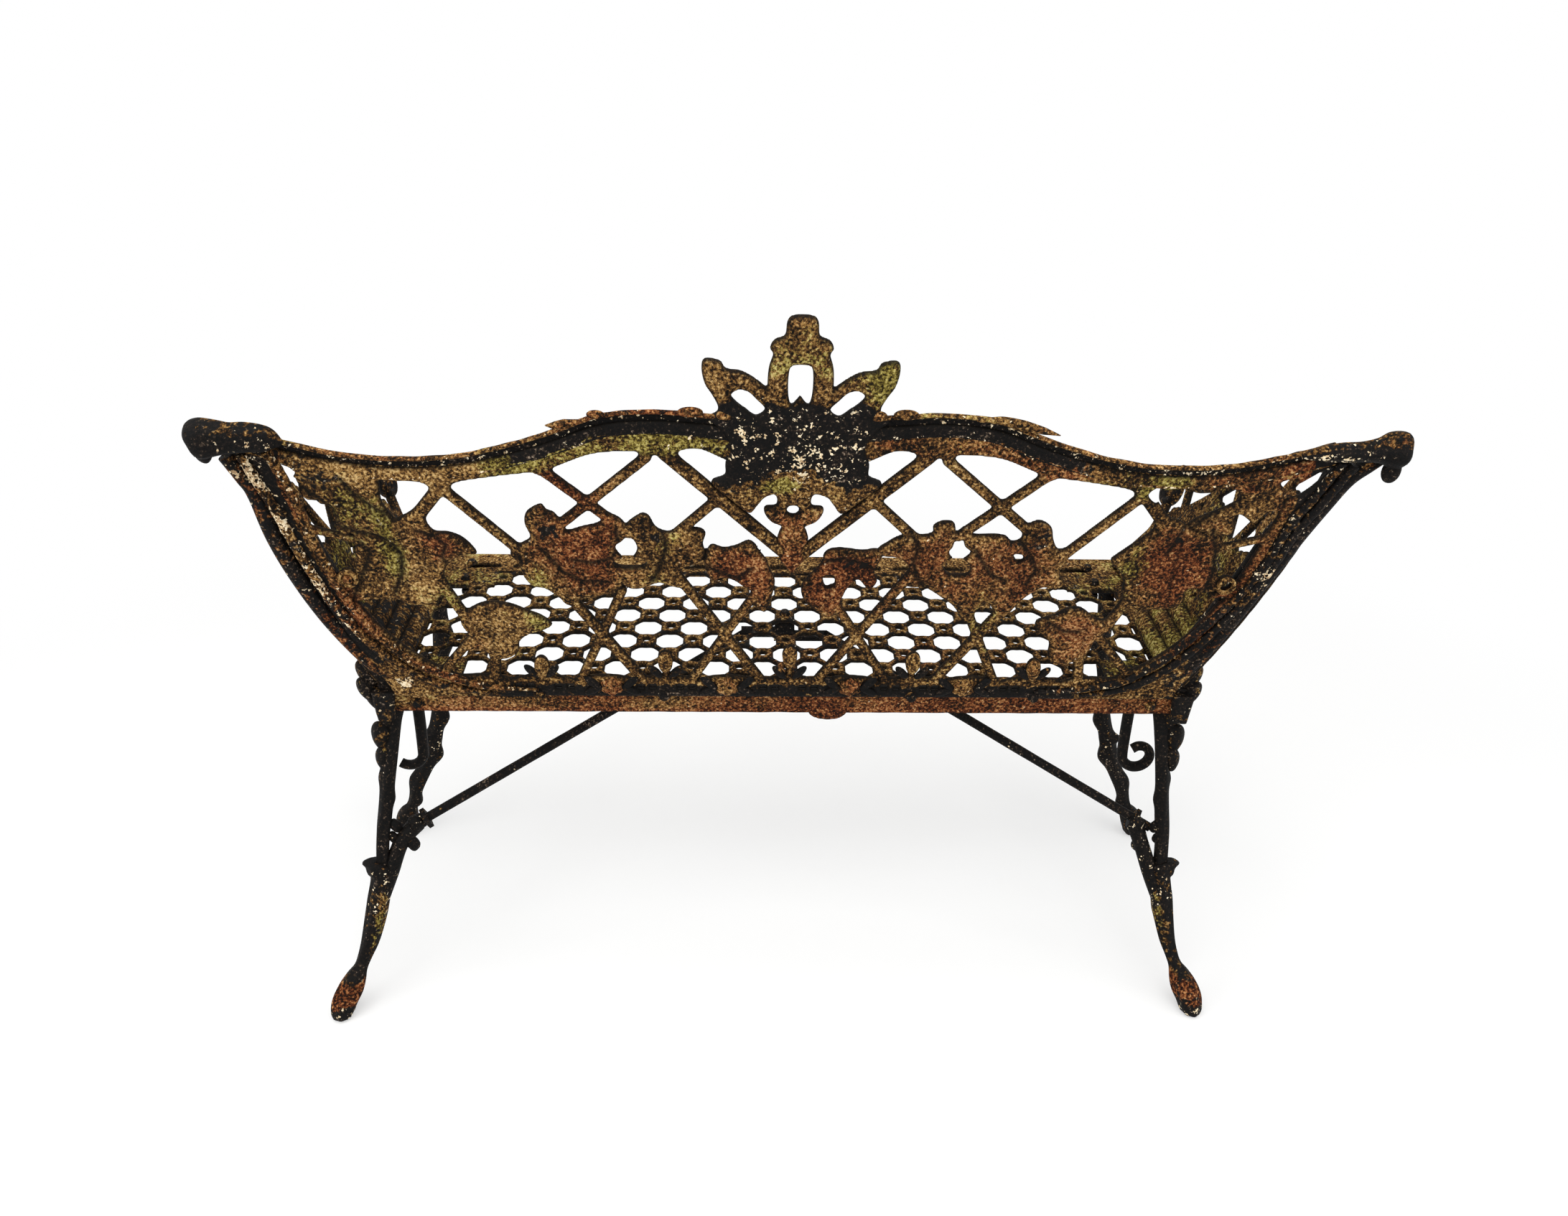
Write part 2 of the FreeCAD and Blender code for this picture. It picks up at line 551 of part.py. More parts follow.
layers = [slab(plate_faces, -size.back_plate, 0), leaf_layer]
layers += [slab([face], -size.rail_bead_depth, 0) for face in bead_faces]
knob_x = arm_foot + size.arm_flare + size.knob_out
knob_solids = []
for side in (1, -1):
    ball_centre = Vector(side * knob_x, size.knob_height * back_stretch, -size.knob_setback)
    knob_solids.append(Part.makeSphere(size.knob_radius, ball_centre))
    inwards = Vector(-side, 0, 0)
    knob_solids.append(Part.makeCylinder(size.roll_radius, size.roll_length, ball_centre, inwards))
back_shape = one_solid(layers + knob_solids)
back_bolt_reach = size.back_plate + size.arm_flange
back_holes = bolt_holes(screw_places, size.back_plate) + bolt_holes(arm_back_places, size.back_plate)
back_shape = back_shape.cut([placed(hole, back_frame.inverse()) for hole in back_holes] + eyelets)
if len(back_shape.Solids) != 1:
    raise RuntimeError("the back came apart")
casting("back", back_shape.Solids[0], back_frame)

# Arm castings: side openwork cut out of a bowed wall, with a foot and a rear flange.


def on_arm(points):
    """Drawn points of the arm, depth and height, stretched to the real arm."""
    return [(y * depth_stretch, z * arm_stretch, 0) for y, z in points]


arm_rail_top = [(30, 322), (-30, 310), (-90, 272), (-150, 230), (-210, 190), (-262, 167), (-296, 166)]
arm_rail_foot = [(30, 294), (-30, 284), (-90, 246), (-150, 204), (-210, 166), (-262, 142), (-290, 142)]
scroll_centre = (-286, 144)
arm_posts = [[(-288, 132), (-268, 76)], [(-268, 76), (-296, 6)]]
arm_twigs = [[(-24, 12), (-150, 216)], [(-150, 8), (-40, 285)], [(-270, 80), (-140, 222)],
             [(-150, 8), (-250, 150)], [(-215, 8), (-215, 90)]]
arm_leaves = [(-72, 110, 58, 60), (-165, 122, 56, 100), (-226, 92, 40, 140), (-34, 214, 44, 90)]
arm_edge = [(0, 0), (28, 318), (4, 318), (-24, 0)]
arm_foot_rail = [(-306, 0), (0, 0), (0, 16), (-306, 16)]

# The arm's sketch plane has x along the depth and y as the height; it is turned to face along X.
arm_sketch = Placement(Vector(), Rotation(Vector(0, 1, 0), Vector(0, 0, 1), x_axis, "XYZ"))
sweep = half_length + size.arm_flare * 2
screen_faces = [bar(*on_arm(ends), size.arm_post) for ends in arm_posts]
screen_faces += [bar(*on_arm(ends), size.arm_twig) for ends in arm_twigs]
screen_faces += [leaf(y * depth_stretch, z * arm_stretch, reach, turn) for y, z, reach, turn in arm_leaves]
screen_faces += [polygon(on_arm(arm_edge)), polygon(on_arm(arm_foot_rail))]
scroll_point = Vector(*on_arm([scroll_centre])[0])
scroll_disc = Part.Face(Part.Wire(Part.makeCircle(size.scroll_radius, scroll_point)))
scroll_hole = Part.Face(Part.Wire(Part.makeCircle(size.scroll_bore, scroll_point)))
rail_face = band(on_arm(arm_rail_top), on_arm(arm_rail_foot)).fuse(scroll_disc).removeSplitter()
rail_face = rail_face.cut(scroll_hole)
screen_faces = [face.cut(scroll_hole) for face in screen_faces]
wall_top = size.arm_height + 20
wall_turn = Placement(Vector(0, -size.seat_depth - 60, 0), Rotation(x_axis, 90))


def bowed_wall(outer_inset, inner_inset):
    """The arm's bowed wall, from in front of the seat to behind the back."""
    face = bow_face(outer_inset, inner_inset, 2 * size.part_clearance, wall_top)
    wall = face.extrude(Vector(0, 0, -size.seat_depth - 160))
    return placed(wall, wall_turn)


screen = placed(slab(screen_faces, 0, sweep), arm_sketch)
rail = placed(slab(rail_face.Faces, 0, sweep), arm_sketch)
rail_overlap = (size.arm_rail - size.arm_wall) / 2
arm_parts = [bowed_wall(0, size.arm_wall).common(screen),
             bowed_wall(-rail_overlap, size.arm_wall + rail_overlap).common(rail)]
front_side = placed(Part.makeBox(2 * sweep, 2 * sweep, sweep, Vector(-sweep, -sweep, 0)), back_on_seat)
arm_parts = [piece.common(front_side) for piece in arm_parts]
arm_parts.append(placed(rear_flange.extrude(Vector(0, 0, size.arm_flange)), back_on_seat))
# The fan leaf leans from the seat's corner outwards against the openwork.
fan_low = 2 * size.part_clearance
fan_under = size.fan_height - size.fan_plate
fan_face = polygon([(half_length - size.fan_foot, -size.fan_setback, fan_low),
                    (half_length - size.fan_foot + size.fan_plate, -size.fan_setback, fan_low),
                    (bow(fan_under, size.arm_wall / 2), -size.fan_setback, fan_under),
                    (bow(size.fan_height, size.arm_wall / 2), -size.fan_setback, size.fan_height)])
arm_parts.append(fan_face.extrude(Vector(0, -size.fan_length, 0)))
foot_drop = size.skirt_height - 2
arm_parts.append(Part.makeBox(size.arm_flange, size.seat_depth - 30, 16 + foot_drop,
                              Vector(half_length, -size.seat_depth + 10, -foot_drop)))
knob_room = []
for solid in knob_solids[:2]:
    grown = solid.makeOffsetShape(size.part_clearance, 0.01)
    knob_room.append(placed(grown, back_on_seat))
left_arm = one_solid(arm_parts).cut(knob_room)
arm_holes = bolt_holes(arm_back_places, back_bolt_reach)
arm_holes += bolt_holes(arm_seat_places, size.arm_flange + size.skirt_wall)
for name, shape in (("left_arm", left_arm), ("right_arm", mirrored(left_arm))):
    casting(name, shape.cut(in_seat(arm_holes)), seat_frame)

# Legs: rings along the shank, as shares of the height and of the splay, and a radius.
REAR_SHANK = [(1.0, 0.0, 0.0, 11), (0.92, 0.05, 0.01, 11), (0.86, 0.13, 0.05, 12.5),
              (0.73, 0.24, 0.13, 12.5), (0.575, 0.35, 0.25, 12), (0.49, 0.42, 0.33, 14),
              (0.45, 0.44, 0.37, 21), (0.405, 0.47, 0.40, 15), (0.34, 0.52, 0.47, 15.5),
              (0.245, 0.59, 0.56, 15), (0.17, 0.70, 0.67, 13.5), (0.117, 0.82, 0.80, 14),
              (0.07, 0.96, 0.94, 20), (0.025, 1.0, 0.99, 19), (0.0, 1.0, 1.0, 14)]
FRONT_SHANK = [(1.0, 0.0, 0.0, 11), (0.91, 0.02, 0.0, 12), (0.80, 0.06, 0.0, 12.5),
               (0.64, 0.15, 0.0, 12), (0.515, 0.24, 0.0, 13), (0.457, 0.29, 0.1, 14),
               (0.42, 0.33, 0.2, 20), (0.38, 0.385, 0.3, 14), (0.30, 0.52, 0.5, 13),
               (0.205, 0.71, 0.7, 13), (0.137, 0.82, 0.8, 13), (0.09, 0.91, 0.9, 15),
               (0.055, 0.98, 1.0, 19), (0.02, 1.0, 1.0, 18), (0.0, 1.0, 1.0, 13)]
KNEE = 6


def shank_points(top, foot, shank):
    """Middle of each ring between the top of a shank and its foot on the floor."""
    span = foot - top
    return [Vector(top.x + out * span.x, top.y + back * span.y, height * top.z)
            for height, out, back, radius in shank]


def shank_solid(points, shank):
    rings = [Part.Wire(Part.makeCircle(ring[3], point)) for point, ring in zip(points, shank)]
    return Part.makeLoft(rings, True, True)


def leg_flange(x, y):
    low = Vector(x - size.flange_length / 2, y - size.flange_width / 2, -size.seat_plate - size.leg_flange)
    return placed(Part.makeBox(size.flange_length, size.flange_width, size.leg_flange, low), seat_frame)


flange_middle = -size.seat_plate - size.leg_flange / 2
rear_top = seat_frame.multVec(Vector(shank_x, rear_flange_y + 10, flange_middle))
rear_foot = Vector(half_length + size.rear_foot_out, size.rear_foot_back, 0)
rear_points = shank_points(rear_top, rear_foot, REAR_SHANK)
knee = rear_points[KNEE]
lug = knee + Vector(-size.lug_in, -size.lug_forward, size.lug_up)
boss_foot = -size.seat_plate - size.boss_depth
brace_end_x = size.brace_pad_length - size.brace_pad_lap - 4
brace_top = seat_frame.multVec(Vector(brace_end_x, boss_y, boss_foot - size.brace_pad))
brace_way = (lug - brace_top).normalize()
brace_hole_radius = (size.brace_diameter + size.bolt_clearance) / 2

apron_plate = Part.makeBox(48, size.apron_height - size.seat_plate - 4, size.leg_flange,
                           Vector(half_length - 59, -size.apron_height + 2, size.apron_wall))
curl_x = flange_x - size.curl_place
curl_top = seat_frame.multVec(Vector(curl_x, rear_flange_y, flange_middle))
curl_centre = curl_top + Vector(size.curl_radius - size.curl_bar / 2, -size.curl_bar / 2, -size.curl_drop)
curl_ring = Part.makeCylinder(size.curl_radius, size.curl_bar, curl_centre, Vector(0, 1, 0))
curl_ring = curl_ring.cut(Part.makeCylinder(size.curl_bore, size.curl_bar, curl_centre, Vector(0, 1, 0)))
curl_stem = Part.makeBox(size.curl_bar, size.curl_bar, size.curl_drop,
                         curl_top - Vector(size.curl_bar / 2, size.curl_bar / 2, size.curl_drop))
lug_arm = Part.makeCone(13, 11, (lug - knee).Length, knee, lug - knee)
lug_start = lug - brace_way * (size.lug_length / 2)
lug_solid = Part.makeCylinder(size.lug_radius, size.lug_length, lug_start, brace_way)
brace_hole = Part.makeCylinder(brace_hole_radius, size.lug_length, lug_start - brace_way * 2, brace_way)
rear_leg = one_solid([shank_solid(rear_points, REAR_SHANK), leg_flange(flange_x, rear_flange_y),
                      placed(apron_plate, back_frame), curl_ring.fuse(curl_stem), lug_arm, lug_solid])
rear_leg = rear_leg.cut([brace_hole])

front_top = seat_frame.multVec(Vector(shank_x, front_flange_y, flange_middle))
front_foot = Vector(half_length + size.front_foot_out, -size.seat_depth + size.front_foot_back, 0)
front_points = shank_points(front_top, front_foot, FRONT_SHANK)
front_leg = one_solid([shank_solid(front_points, FRONT_SHANK), leg_flange(flange_x, front_flange_y)])

leg_holes = bolt_holes(leg_places, size.seat_plate + size.leg_flange)
leg_holes += bolt_holes(apron_places, size.apron_wall + size.leg_flange)
for name, shape in (("rear_left_leg", rear_leg), ("front_left_leg", front_leg)):
    casting(name, shape.cut(leg_holes), Placement())
    casting(name.replace("left", "right"), mirrored(shape).cut(leg_holes), Placement())

# Brace rods: flat ends lapped under the boss, the left on top, and threaded ends in the legs' lugs.
rod_reach = (lug - brace_top).Length + size.lug_length / 2 - 3
for side, name, lap in ((1, "left_brace", 1), (-1, "right_brace", 2)):
    way = Vector(side * brace_way.x, brace_way.y, brace_way.z)
    rod_start = Vector(side * brace_top.x, brace_top.y, brace_top.z)
    rod = primitive("Part::Cylinder", name + "_rod", Radius="sizes.brace_diameter / 2")
    rod.Height = rod_reach
    rod.Placement = Placement(rod_start, Rotation(Vector(0, 0, 1), way))
    pad = primitive("Part::Box", name + "_pad", Length="sizes.brace_pad_length",
                    Width="sizes.brace_pad_width", Height="sizes.brace_pad")
    pad_start = -size.brace_pad_lap if side > 0 else size.brace_pad_lap - size.brace_pad_length
    pad_corner = Vector(pad_start, boss_y - size.brace_pad_width / 2, boss_foot - lap * size.brace_pad)
    pad.Placement = seat_frame * Placement(pad_corner, Rotation())
    body = doc.addObject("Part::Fuse", name + "_body")
    body.Base = rod
    body.Tool = pad
    hole = primitive("Part::Cylinder", name + "_hole",
                     Radius="(sizes.bolt_diameter + sizes.bolt_clearance) / 2",
                     Height="sizes.seat_plate + sizes.boss_depth + 3 * sizes.brace_pad")
    hole.Placement = brace_places[0]
    combine("Part::Cut", name, Placement(), Base=body, Tool=hole)

# Fasteners: domed bolts and square nuts, like ones gathered in one node.


def bolt_group(name, places, grip):
    """Bolts through a grip, which is a sum of sheet sizes, long enough for a nut."""
    bolts = []
    for number, place in enumerate(places, start=1):
        shank = primitive("Part::Cylinder", "%s_shank_%d" % (name, number), Radius="sizes.bolt_diameter / 2",
                          Height=grip)
        head = primitive("Part::Cone", "%s_head_%d" % (name, number), Radius1="sizes.head_diameter / 3",
                         Radius2="sizes.head_diameter / 2", Height="sizes.head_height",
                         z="-sizes.head_height")
        bolt = doc.addObject("Part::Fuse", "%s_%d" % (name, number))
        bolt.Base = head
        bolt.Tool = shank
        bolt.Placement = place
        bolts.append(bolt)
    combine("Part::Compound", name, Placement(), Links=bolts)


def nut_group(name, places, seat_level, width="sizes.nut_width", thread="sizes.bolt_diameter"):
    """Square nuts whose near faces lie at a level along their bolts, a sum of sheet sizes."""
    nuts = []
    for number, place in enumerate(places, start=1):
        block = primitive("Part::Box", "%s_block_%d" % (name, number), Length=width, Width=width,
                          Height="sizes.nut_height", x="-%s / 2" % width, y="-%s / 2" % width, z=seat_level)
        bore = primitive("Part::Cylinder", "%s_bore_%d" % (name, number),
                         Radius="(%s + sizes.bolt_clearance) / 2" % thread,
                         Height="sizes.nut_height", z=seat_level)
        nut = doc.addObject("Part::Cut", "%s_%d" % (name, number))
        nut.Base = block
        nut.Tool = bore
        nut.Placement = place
        nuts.append(nut)
    combine("Part::Compound", name, Placement(), Links=nuts)


NUT_END = " + sizes.nut_height + sizes.thread_proud"
BOLTED = [
    ("arm_back", arm_back_places, "sizes.back_plate + sizes.arm_flange"),
    ("arm_seat", arm_seat_places, "sizes.arm_flange + sizes.skirt_wall"),
    ("apron", apron_places, "sizes.apron_wall + sizes.leg_flange"),
    ("leg", leg_places, "sizes.seat_plate + sizes.leg_flange"),
    ("brace", brace_places, "sizes.seat_plate + sizes.boss_depth + 2 * sizes.brace_pad"),
]
bolt_group("back_screws", screw_places, "sizes.back_plate + sizes.apron_wall + sizes.screw_boss_depth / 2")
for joint, places, grip in BOLTED:
    bolt_group(joint + "_bolts", places, grip + NUT_END)
    nut_group(joint + "_nuts", places, grip)
lug_nut_places = []
lug_nut_point = lug_start - brace_way * size.nut_height
for side in (1, -1):
    way = Vector(side * brace_way.x, brace_way.y, brace_way.z)
    point = Vector(side * lug_nut_point.x, lug_nut_point.y, lug_nut_point.z)
    lug_nut_places.append(Placement(point, Rotation(Vector(0, 0, 1), way)))
nut_group("lug_nuts", lug_nut_places, "0", "sizes.brace_nut_width", "sizes.brace_diameter")

doc.recompute()

# The bench stands with the middle of its depth over the origin.
boxes = [node.Shape.optimalBoundingBox() for node in nodes]
middle = (min(box.YMin for box in boxes) + max(box.YMax for box in boxes)) / 2
for node in nodes:
    node.Placement.Base = node.Placement.Base - Vector(0, middle, 0)
doc.recompute()

for made in doc.Objects:
    if "Invalid" in made.State or "Error" in made.State:
        raise RuntimeError("%s did not build: %s" % (made.Name, made.State))
os.makedirs("parts", exist_ok=True)
for node in nodes:
    if node.Shape.isNull() or not node.Shape.isValid() or not node.Shape.Solids:
        raise RuntimeError("%s is not a valid solid" % node.Label)
for node in nodes:
    node.Shape.exportStep("parts/%s.step" % node.Label)
    box = node.Shape.optimalBoundingBox()
    print("%-16s solids %2d  volume %10.0f  x %7.1f %7.1f  y %7.1f %7.1f  z %7.1f %7.1f" % (
        node.Label, len(node.Shape.Solids), node.Shape.Volume, box.XMin, box.XMax, box.YMin, box.YMax,
        box.ZMin, box.ZMax))
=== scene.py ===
import math

import bpy
import numpy as np
from mathutils import Matrix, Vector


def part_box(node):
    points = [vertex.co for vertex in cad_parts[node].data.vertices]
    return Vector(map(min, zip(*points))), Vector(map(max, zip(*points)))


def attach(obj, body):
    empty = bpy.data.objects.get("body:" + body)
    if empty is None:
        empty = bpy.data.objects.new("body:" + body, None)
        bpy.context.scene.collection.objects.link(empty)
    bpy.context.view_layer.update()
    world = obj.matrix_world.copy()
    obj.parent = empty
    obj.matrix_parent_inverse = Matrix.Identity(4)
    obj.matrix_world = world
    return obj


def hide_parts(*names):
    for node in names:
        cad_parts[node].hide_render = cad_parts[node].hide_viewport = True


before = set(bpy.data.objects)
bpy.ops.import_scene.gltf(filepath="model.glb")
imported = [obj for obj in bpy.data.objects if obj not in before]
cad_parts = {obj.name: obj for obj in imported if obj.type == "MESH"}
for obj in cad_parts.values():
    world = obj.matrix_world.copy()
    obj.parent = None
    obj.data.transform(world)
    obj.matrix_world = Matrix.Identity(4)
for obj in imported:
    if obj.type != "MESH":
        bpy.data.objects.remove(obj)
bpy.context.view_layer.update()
scene = bpy.context.scene
scene.view_settings.view_transform = "Standard"

# Studio: a pale floor, a white surround and three large soft lamps, with the camera
# behind the bench, a little above the top of its back, where the photograph was taken.
seat_rear_height = 417.0
rear_edge = np.array([0.0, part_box("seat")[1][1] * 1000, seat_rear_height])
photo_width, photo_focal = 2184, 1577
camera_spot = rear_edge + (54.4, 1196.8, 687.6)
camera_yaw, camera_tilt, camera_roll = np.radians((-2.24, 25.82, -1.40))
ahead = np.array([math.sin(camera_yaw), -math.cos(camera_yaw), 0.0])
right = np.array([-math.cos(camera_yaw), -math.sin(camera_yaw), 0.0])
upright = np.array([0.0, 0.0, 1.0])
view = math.cos(camera_tilt) * ahead - math.sin(camera_tilt) * upright
down = -math.sin(camera_tilt) * ahead - math.cos(camera_tilt) * upright


def stand(name, data, spot, axes):
    """Links a camera or lamp at a spot in metres, with its x, y and z axes along given directions."""
    pose = np.eye(4)
    pose[:3, :3] = np.transpose(axes)
    pose[:3, 3] = spot
    thing = bpy.data.objects.new(name, data)
    thing.matrix_world = Matrix(pose.tolist())
    scene.collection.objects.link(thing)
    return thing


camera_data = bpy.data.cameras.new("camera")
camera_data.sensor_width = 36.0
camera_data.lens = camera_data.sensor_width * photo_focal / photo_width
camera_x = math.cos(camera_roll) * right + math.sin(camera_roll) * down
camera_y = math.sin(camera_roll) * right - math.cos(camera_roll) * down
scene.camera = stand("camera", camera_data, camera_spot / 1000, (camera_x, camera_y, -view))

for lamp_name, spot, aim, width, watts in (
        ("sky_lamp", (0.2, 0.9, 3.2), (0.0, 0.0, 0.4), 3.0, 95),
        ("left_lamp", (2.8, 1.6, 1.6), (0.0, 0.1, 0.5), 2.0, 42),
        ("right_lamp", (-2.6, 2.0, 1.4), (0.0, 0.1, 0.5), 2.0, 34)):
    lamp_data = bpy.data.lights.new(lamp_name, "AREA")
    lamp_data.size = width
    lamp_data.energy = watts
    lamp_z = np.subtract(spot, aim) / np.linalg.norm(np.subtract(spot, aim))
    lamp_x = np.cross(upright, lamp_z) / np.linalg.norm(np.cross(upright, lamp_z))
    stand(lamp_name, lamp_data, spot, (lamp_x, np.cross(lamp_z, lamp_x), lamp_z))


class Shade:
    """A shader socket whose sums and products add Math nodes; node() adds any other node."""

    def __init__(self, tree, socket=None):
        self.tree = tree
        self.socket = socket

    def node(self, kind, settings=None, sockets=None, out=0):
        made = self.tree.nodes.new("ShaderNode" + kind)
        for key, value in (settings or {}).items():
            if key == "stops":
                ramp = made.color_ramp.elements
                while len(ramp) < len(value):
                    ramp.new(0.5)
                for stop, (at, colour) in zip(ramp, value):
                    stop.position = at
                    stop.color = (*colour, 1.0)
            else:
                setattr(made, key, value)
        for key, value in (sockets or {}).items():
            if isinstance(value, Shade):
                self.tree.links.new(value.socket, made.inputs[key])
            else:
                made.inputs[key].default_value = value
        return Shade(self.tree, made.outputs[out])

    def feed(self, socket):
        self.tree.links.new(self.socket, socket)

    def maths(self, operation, first, second):
        return self.node("Math", {"operation": operation}, {0: first, 1: second})

    def __add__(self, other):
        return self.maths("ADD", self, other)

    def __radd__(self, other):
        return self.maths("ADD", other, self)

    def __sub__(self, other):
        return self.maths("SUBTRACT", self, other)

    def __rsub__(self, other):
        return self.maths("SUBTRACT", other, self)

    def __mul__(self, other):
        return self.maths("MULTIPLY", self, other)

    def __rmul__(self, other):
        return self.maths("MULTIPLY", other, self)

    def between(self, low, high):
        """A smooth rise from 0 at a low value to 1 at a high one."""
        return self.node("MapRange", {"interpolation_type": "SMOOTHSTEP"},
                         {"Value": self, "From Min": low, "From Max": high})

    def cover(self, under, over):
        """One colour laid over another where this mask is 1."""
        return self.node("Mix", {"data_type": "RGBA"}, {0: self, 6: under, 7: over}, out=2)

    def seen(self):
        """1 for rays from the camera, a glossy surface or glass, 0 for light on its way to things."""
        camera_ray, glossy_ray, glass_ray = (self.node("LightPath", out="Is %s Ray" % ray)
                                             for ray in ("Camera", "Glossy", "Transmission"))
        return (camera_ray + glossy_ray + glass_ray).between(0, 1)


def new_material(name):
    material = bpy.data.materials.new(name)
    material.use_nodes = True
    return material, Shade(material.node_tree), material.node_tree.nodes["Principled BSDF"]


floor_reach, shadow_near, shadow_far, near_glow = 9.0, 0.8, 1.9, 0.45
floor_finish, floor_shade, floor_shader = new_material("pale_floor")
floor_shader.inputs["Base Color"].default_value = (0.88, 0.88, 0.87, 1.0)
floor_shader.inputs["Roughness"].default_value = 0.9
from_middle = floor_shade.node("VectorMath", {"operation": "LENGTH"},
                               {0: floor_shade.node("TexCoord", out="Object")}, out="Value")
whiteness = near_glow + (1 - near_glow) * from_middle.between(shadow_near, shadow_far)
whiteness = whiteness * floor_shade.seen()
white = floor_shade.node("Emission", None, {"Color": (1.0, 1.0, 1.0, 1.0), "Strength": 1.0})
lit_floor = Shade(floor_shade.tree, floor_shader.outputs[0])
floor_shade.node("MixShader", None, {0: whiteness, 1: lit_floor, 2: white}).feed(
    floor_finish.node_tree.nodes["Material Output"].inputs["Surface"])
floor_mesh = bpy.data.meshes.new("floor")
floor_mesh.from_pydata([(-floor_reach, -floor_reach, 0), (floor_reach, -floor_reach, 0),
                        (floor_reach, floor_reach, 0), (-floor_reach, floor_reach, 0)], [], [(0, 1, 2, 3)])
floor_mesh.materials.append(floor_finish)
floor = bpy.data.objects.new("floor", floor_mesh)
scene.collection.objects.link(floor)

surround = bpy.data.worlds.new("white_surround")
surround.use_nodes = True
scene.world = surround
backdrop = surround.node_tree.nodes["Background"]
backdrop.inputs["Color"].default_value = (1.0, 1.0, 1.0, 1.0)
(0.5 + 0.5 * Shade(surround.node_tree).seen()).feed(backdrop.inputs["Strength"])

# Seat: one pierced iron casting. Rings at the crossings of diagonal webs leave eight-sided
# openings inside a solid border with a row of slots along the front.
seat_pitch = math.radians(7)
seat_half, seat_depth, seat_plate = 495.0, 315.0, 8.0
grid_half, grid_start = 30.0, 45.0
ring_radius, ring_bore, ring_fillet, web_half = 13.0, 4.5, 6.0, 3.3
leg_pad_edge, leg_pad_rear, leg_pad_front = 399.0, 66.0, 236.0
slot_row, slot_pitch, slot_half, slot_end = -287.0, 60.0, 20.0, 452.0
border_end, border_rear, border_front, rear_gap = 466.0, 28.0, 272.0, 0.2
top_round, under_round, web_drop = 2.6, 3.4, 1.2
seat_columns, seat_step = 268, 1.85
# Values carried by each point: rust, lichen, black paint and cream flakes, and painted light: rim is painted
# shade, and pale lightens the tone, in places as a painted highlight.
WEAR_AND_SHADING = ("pale", "lichen", "rust", "black", "cream", "rim")


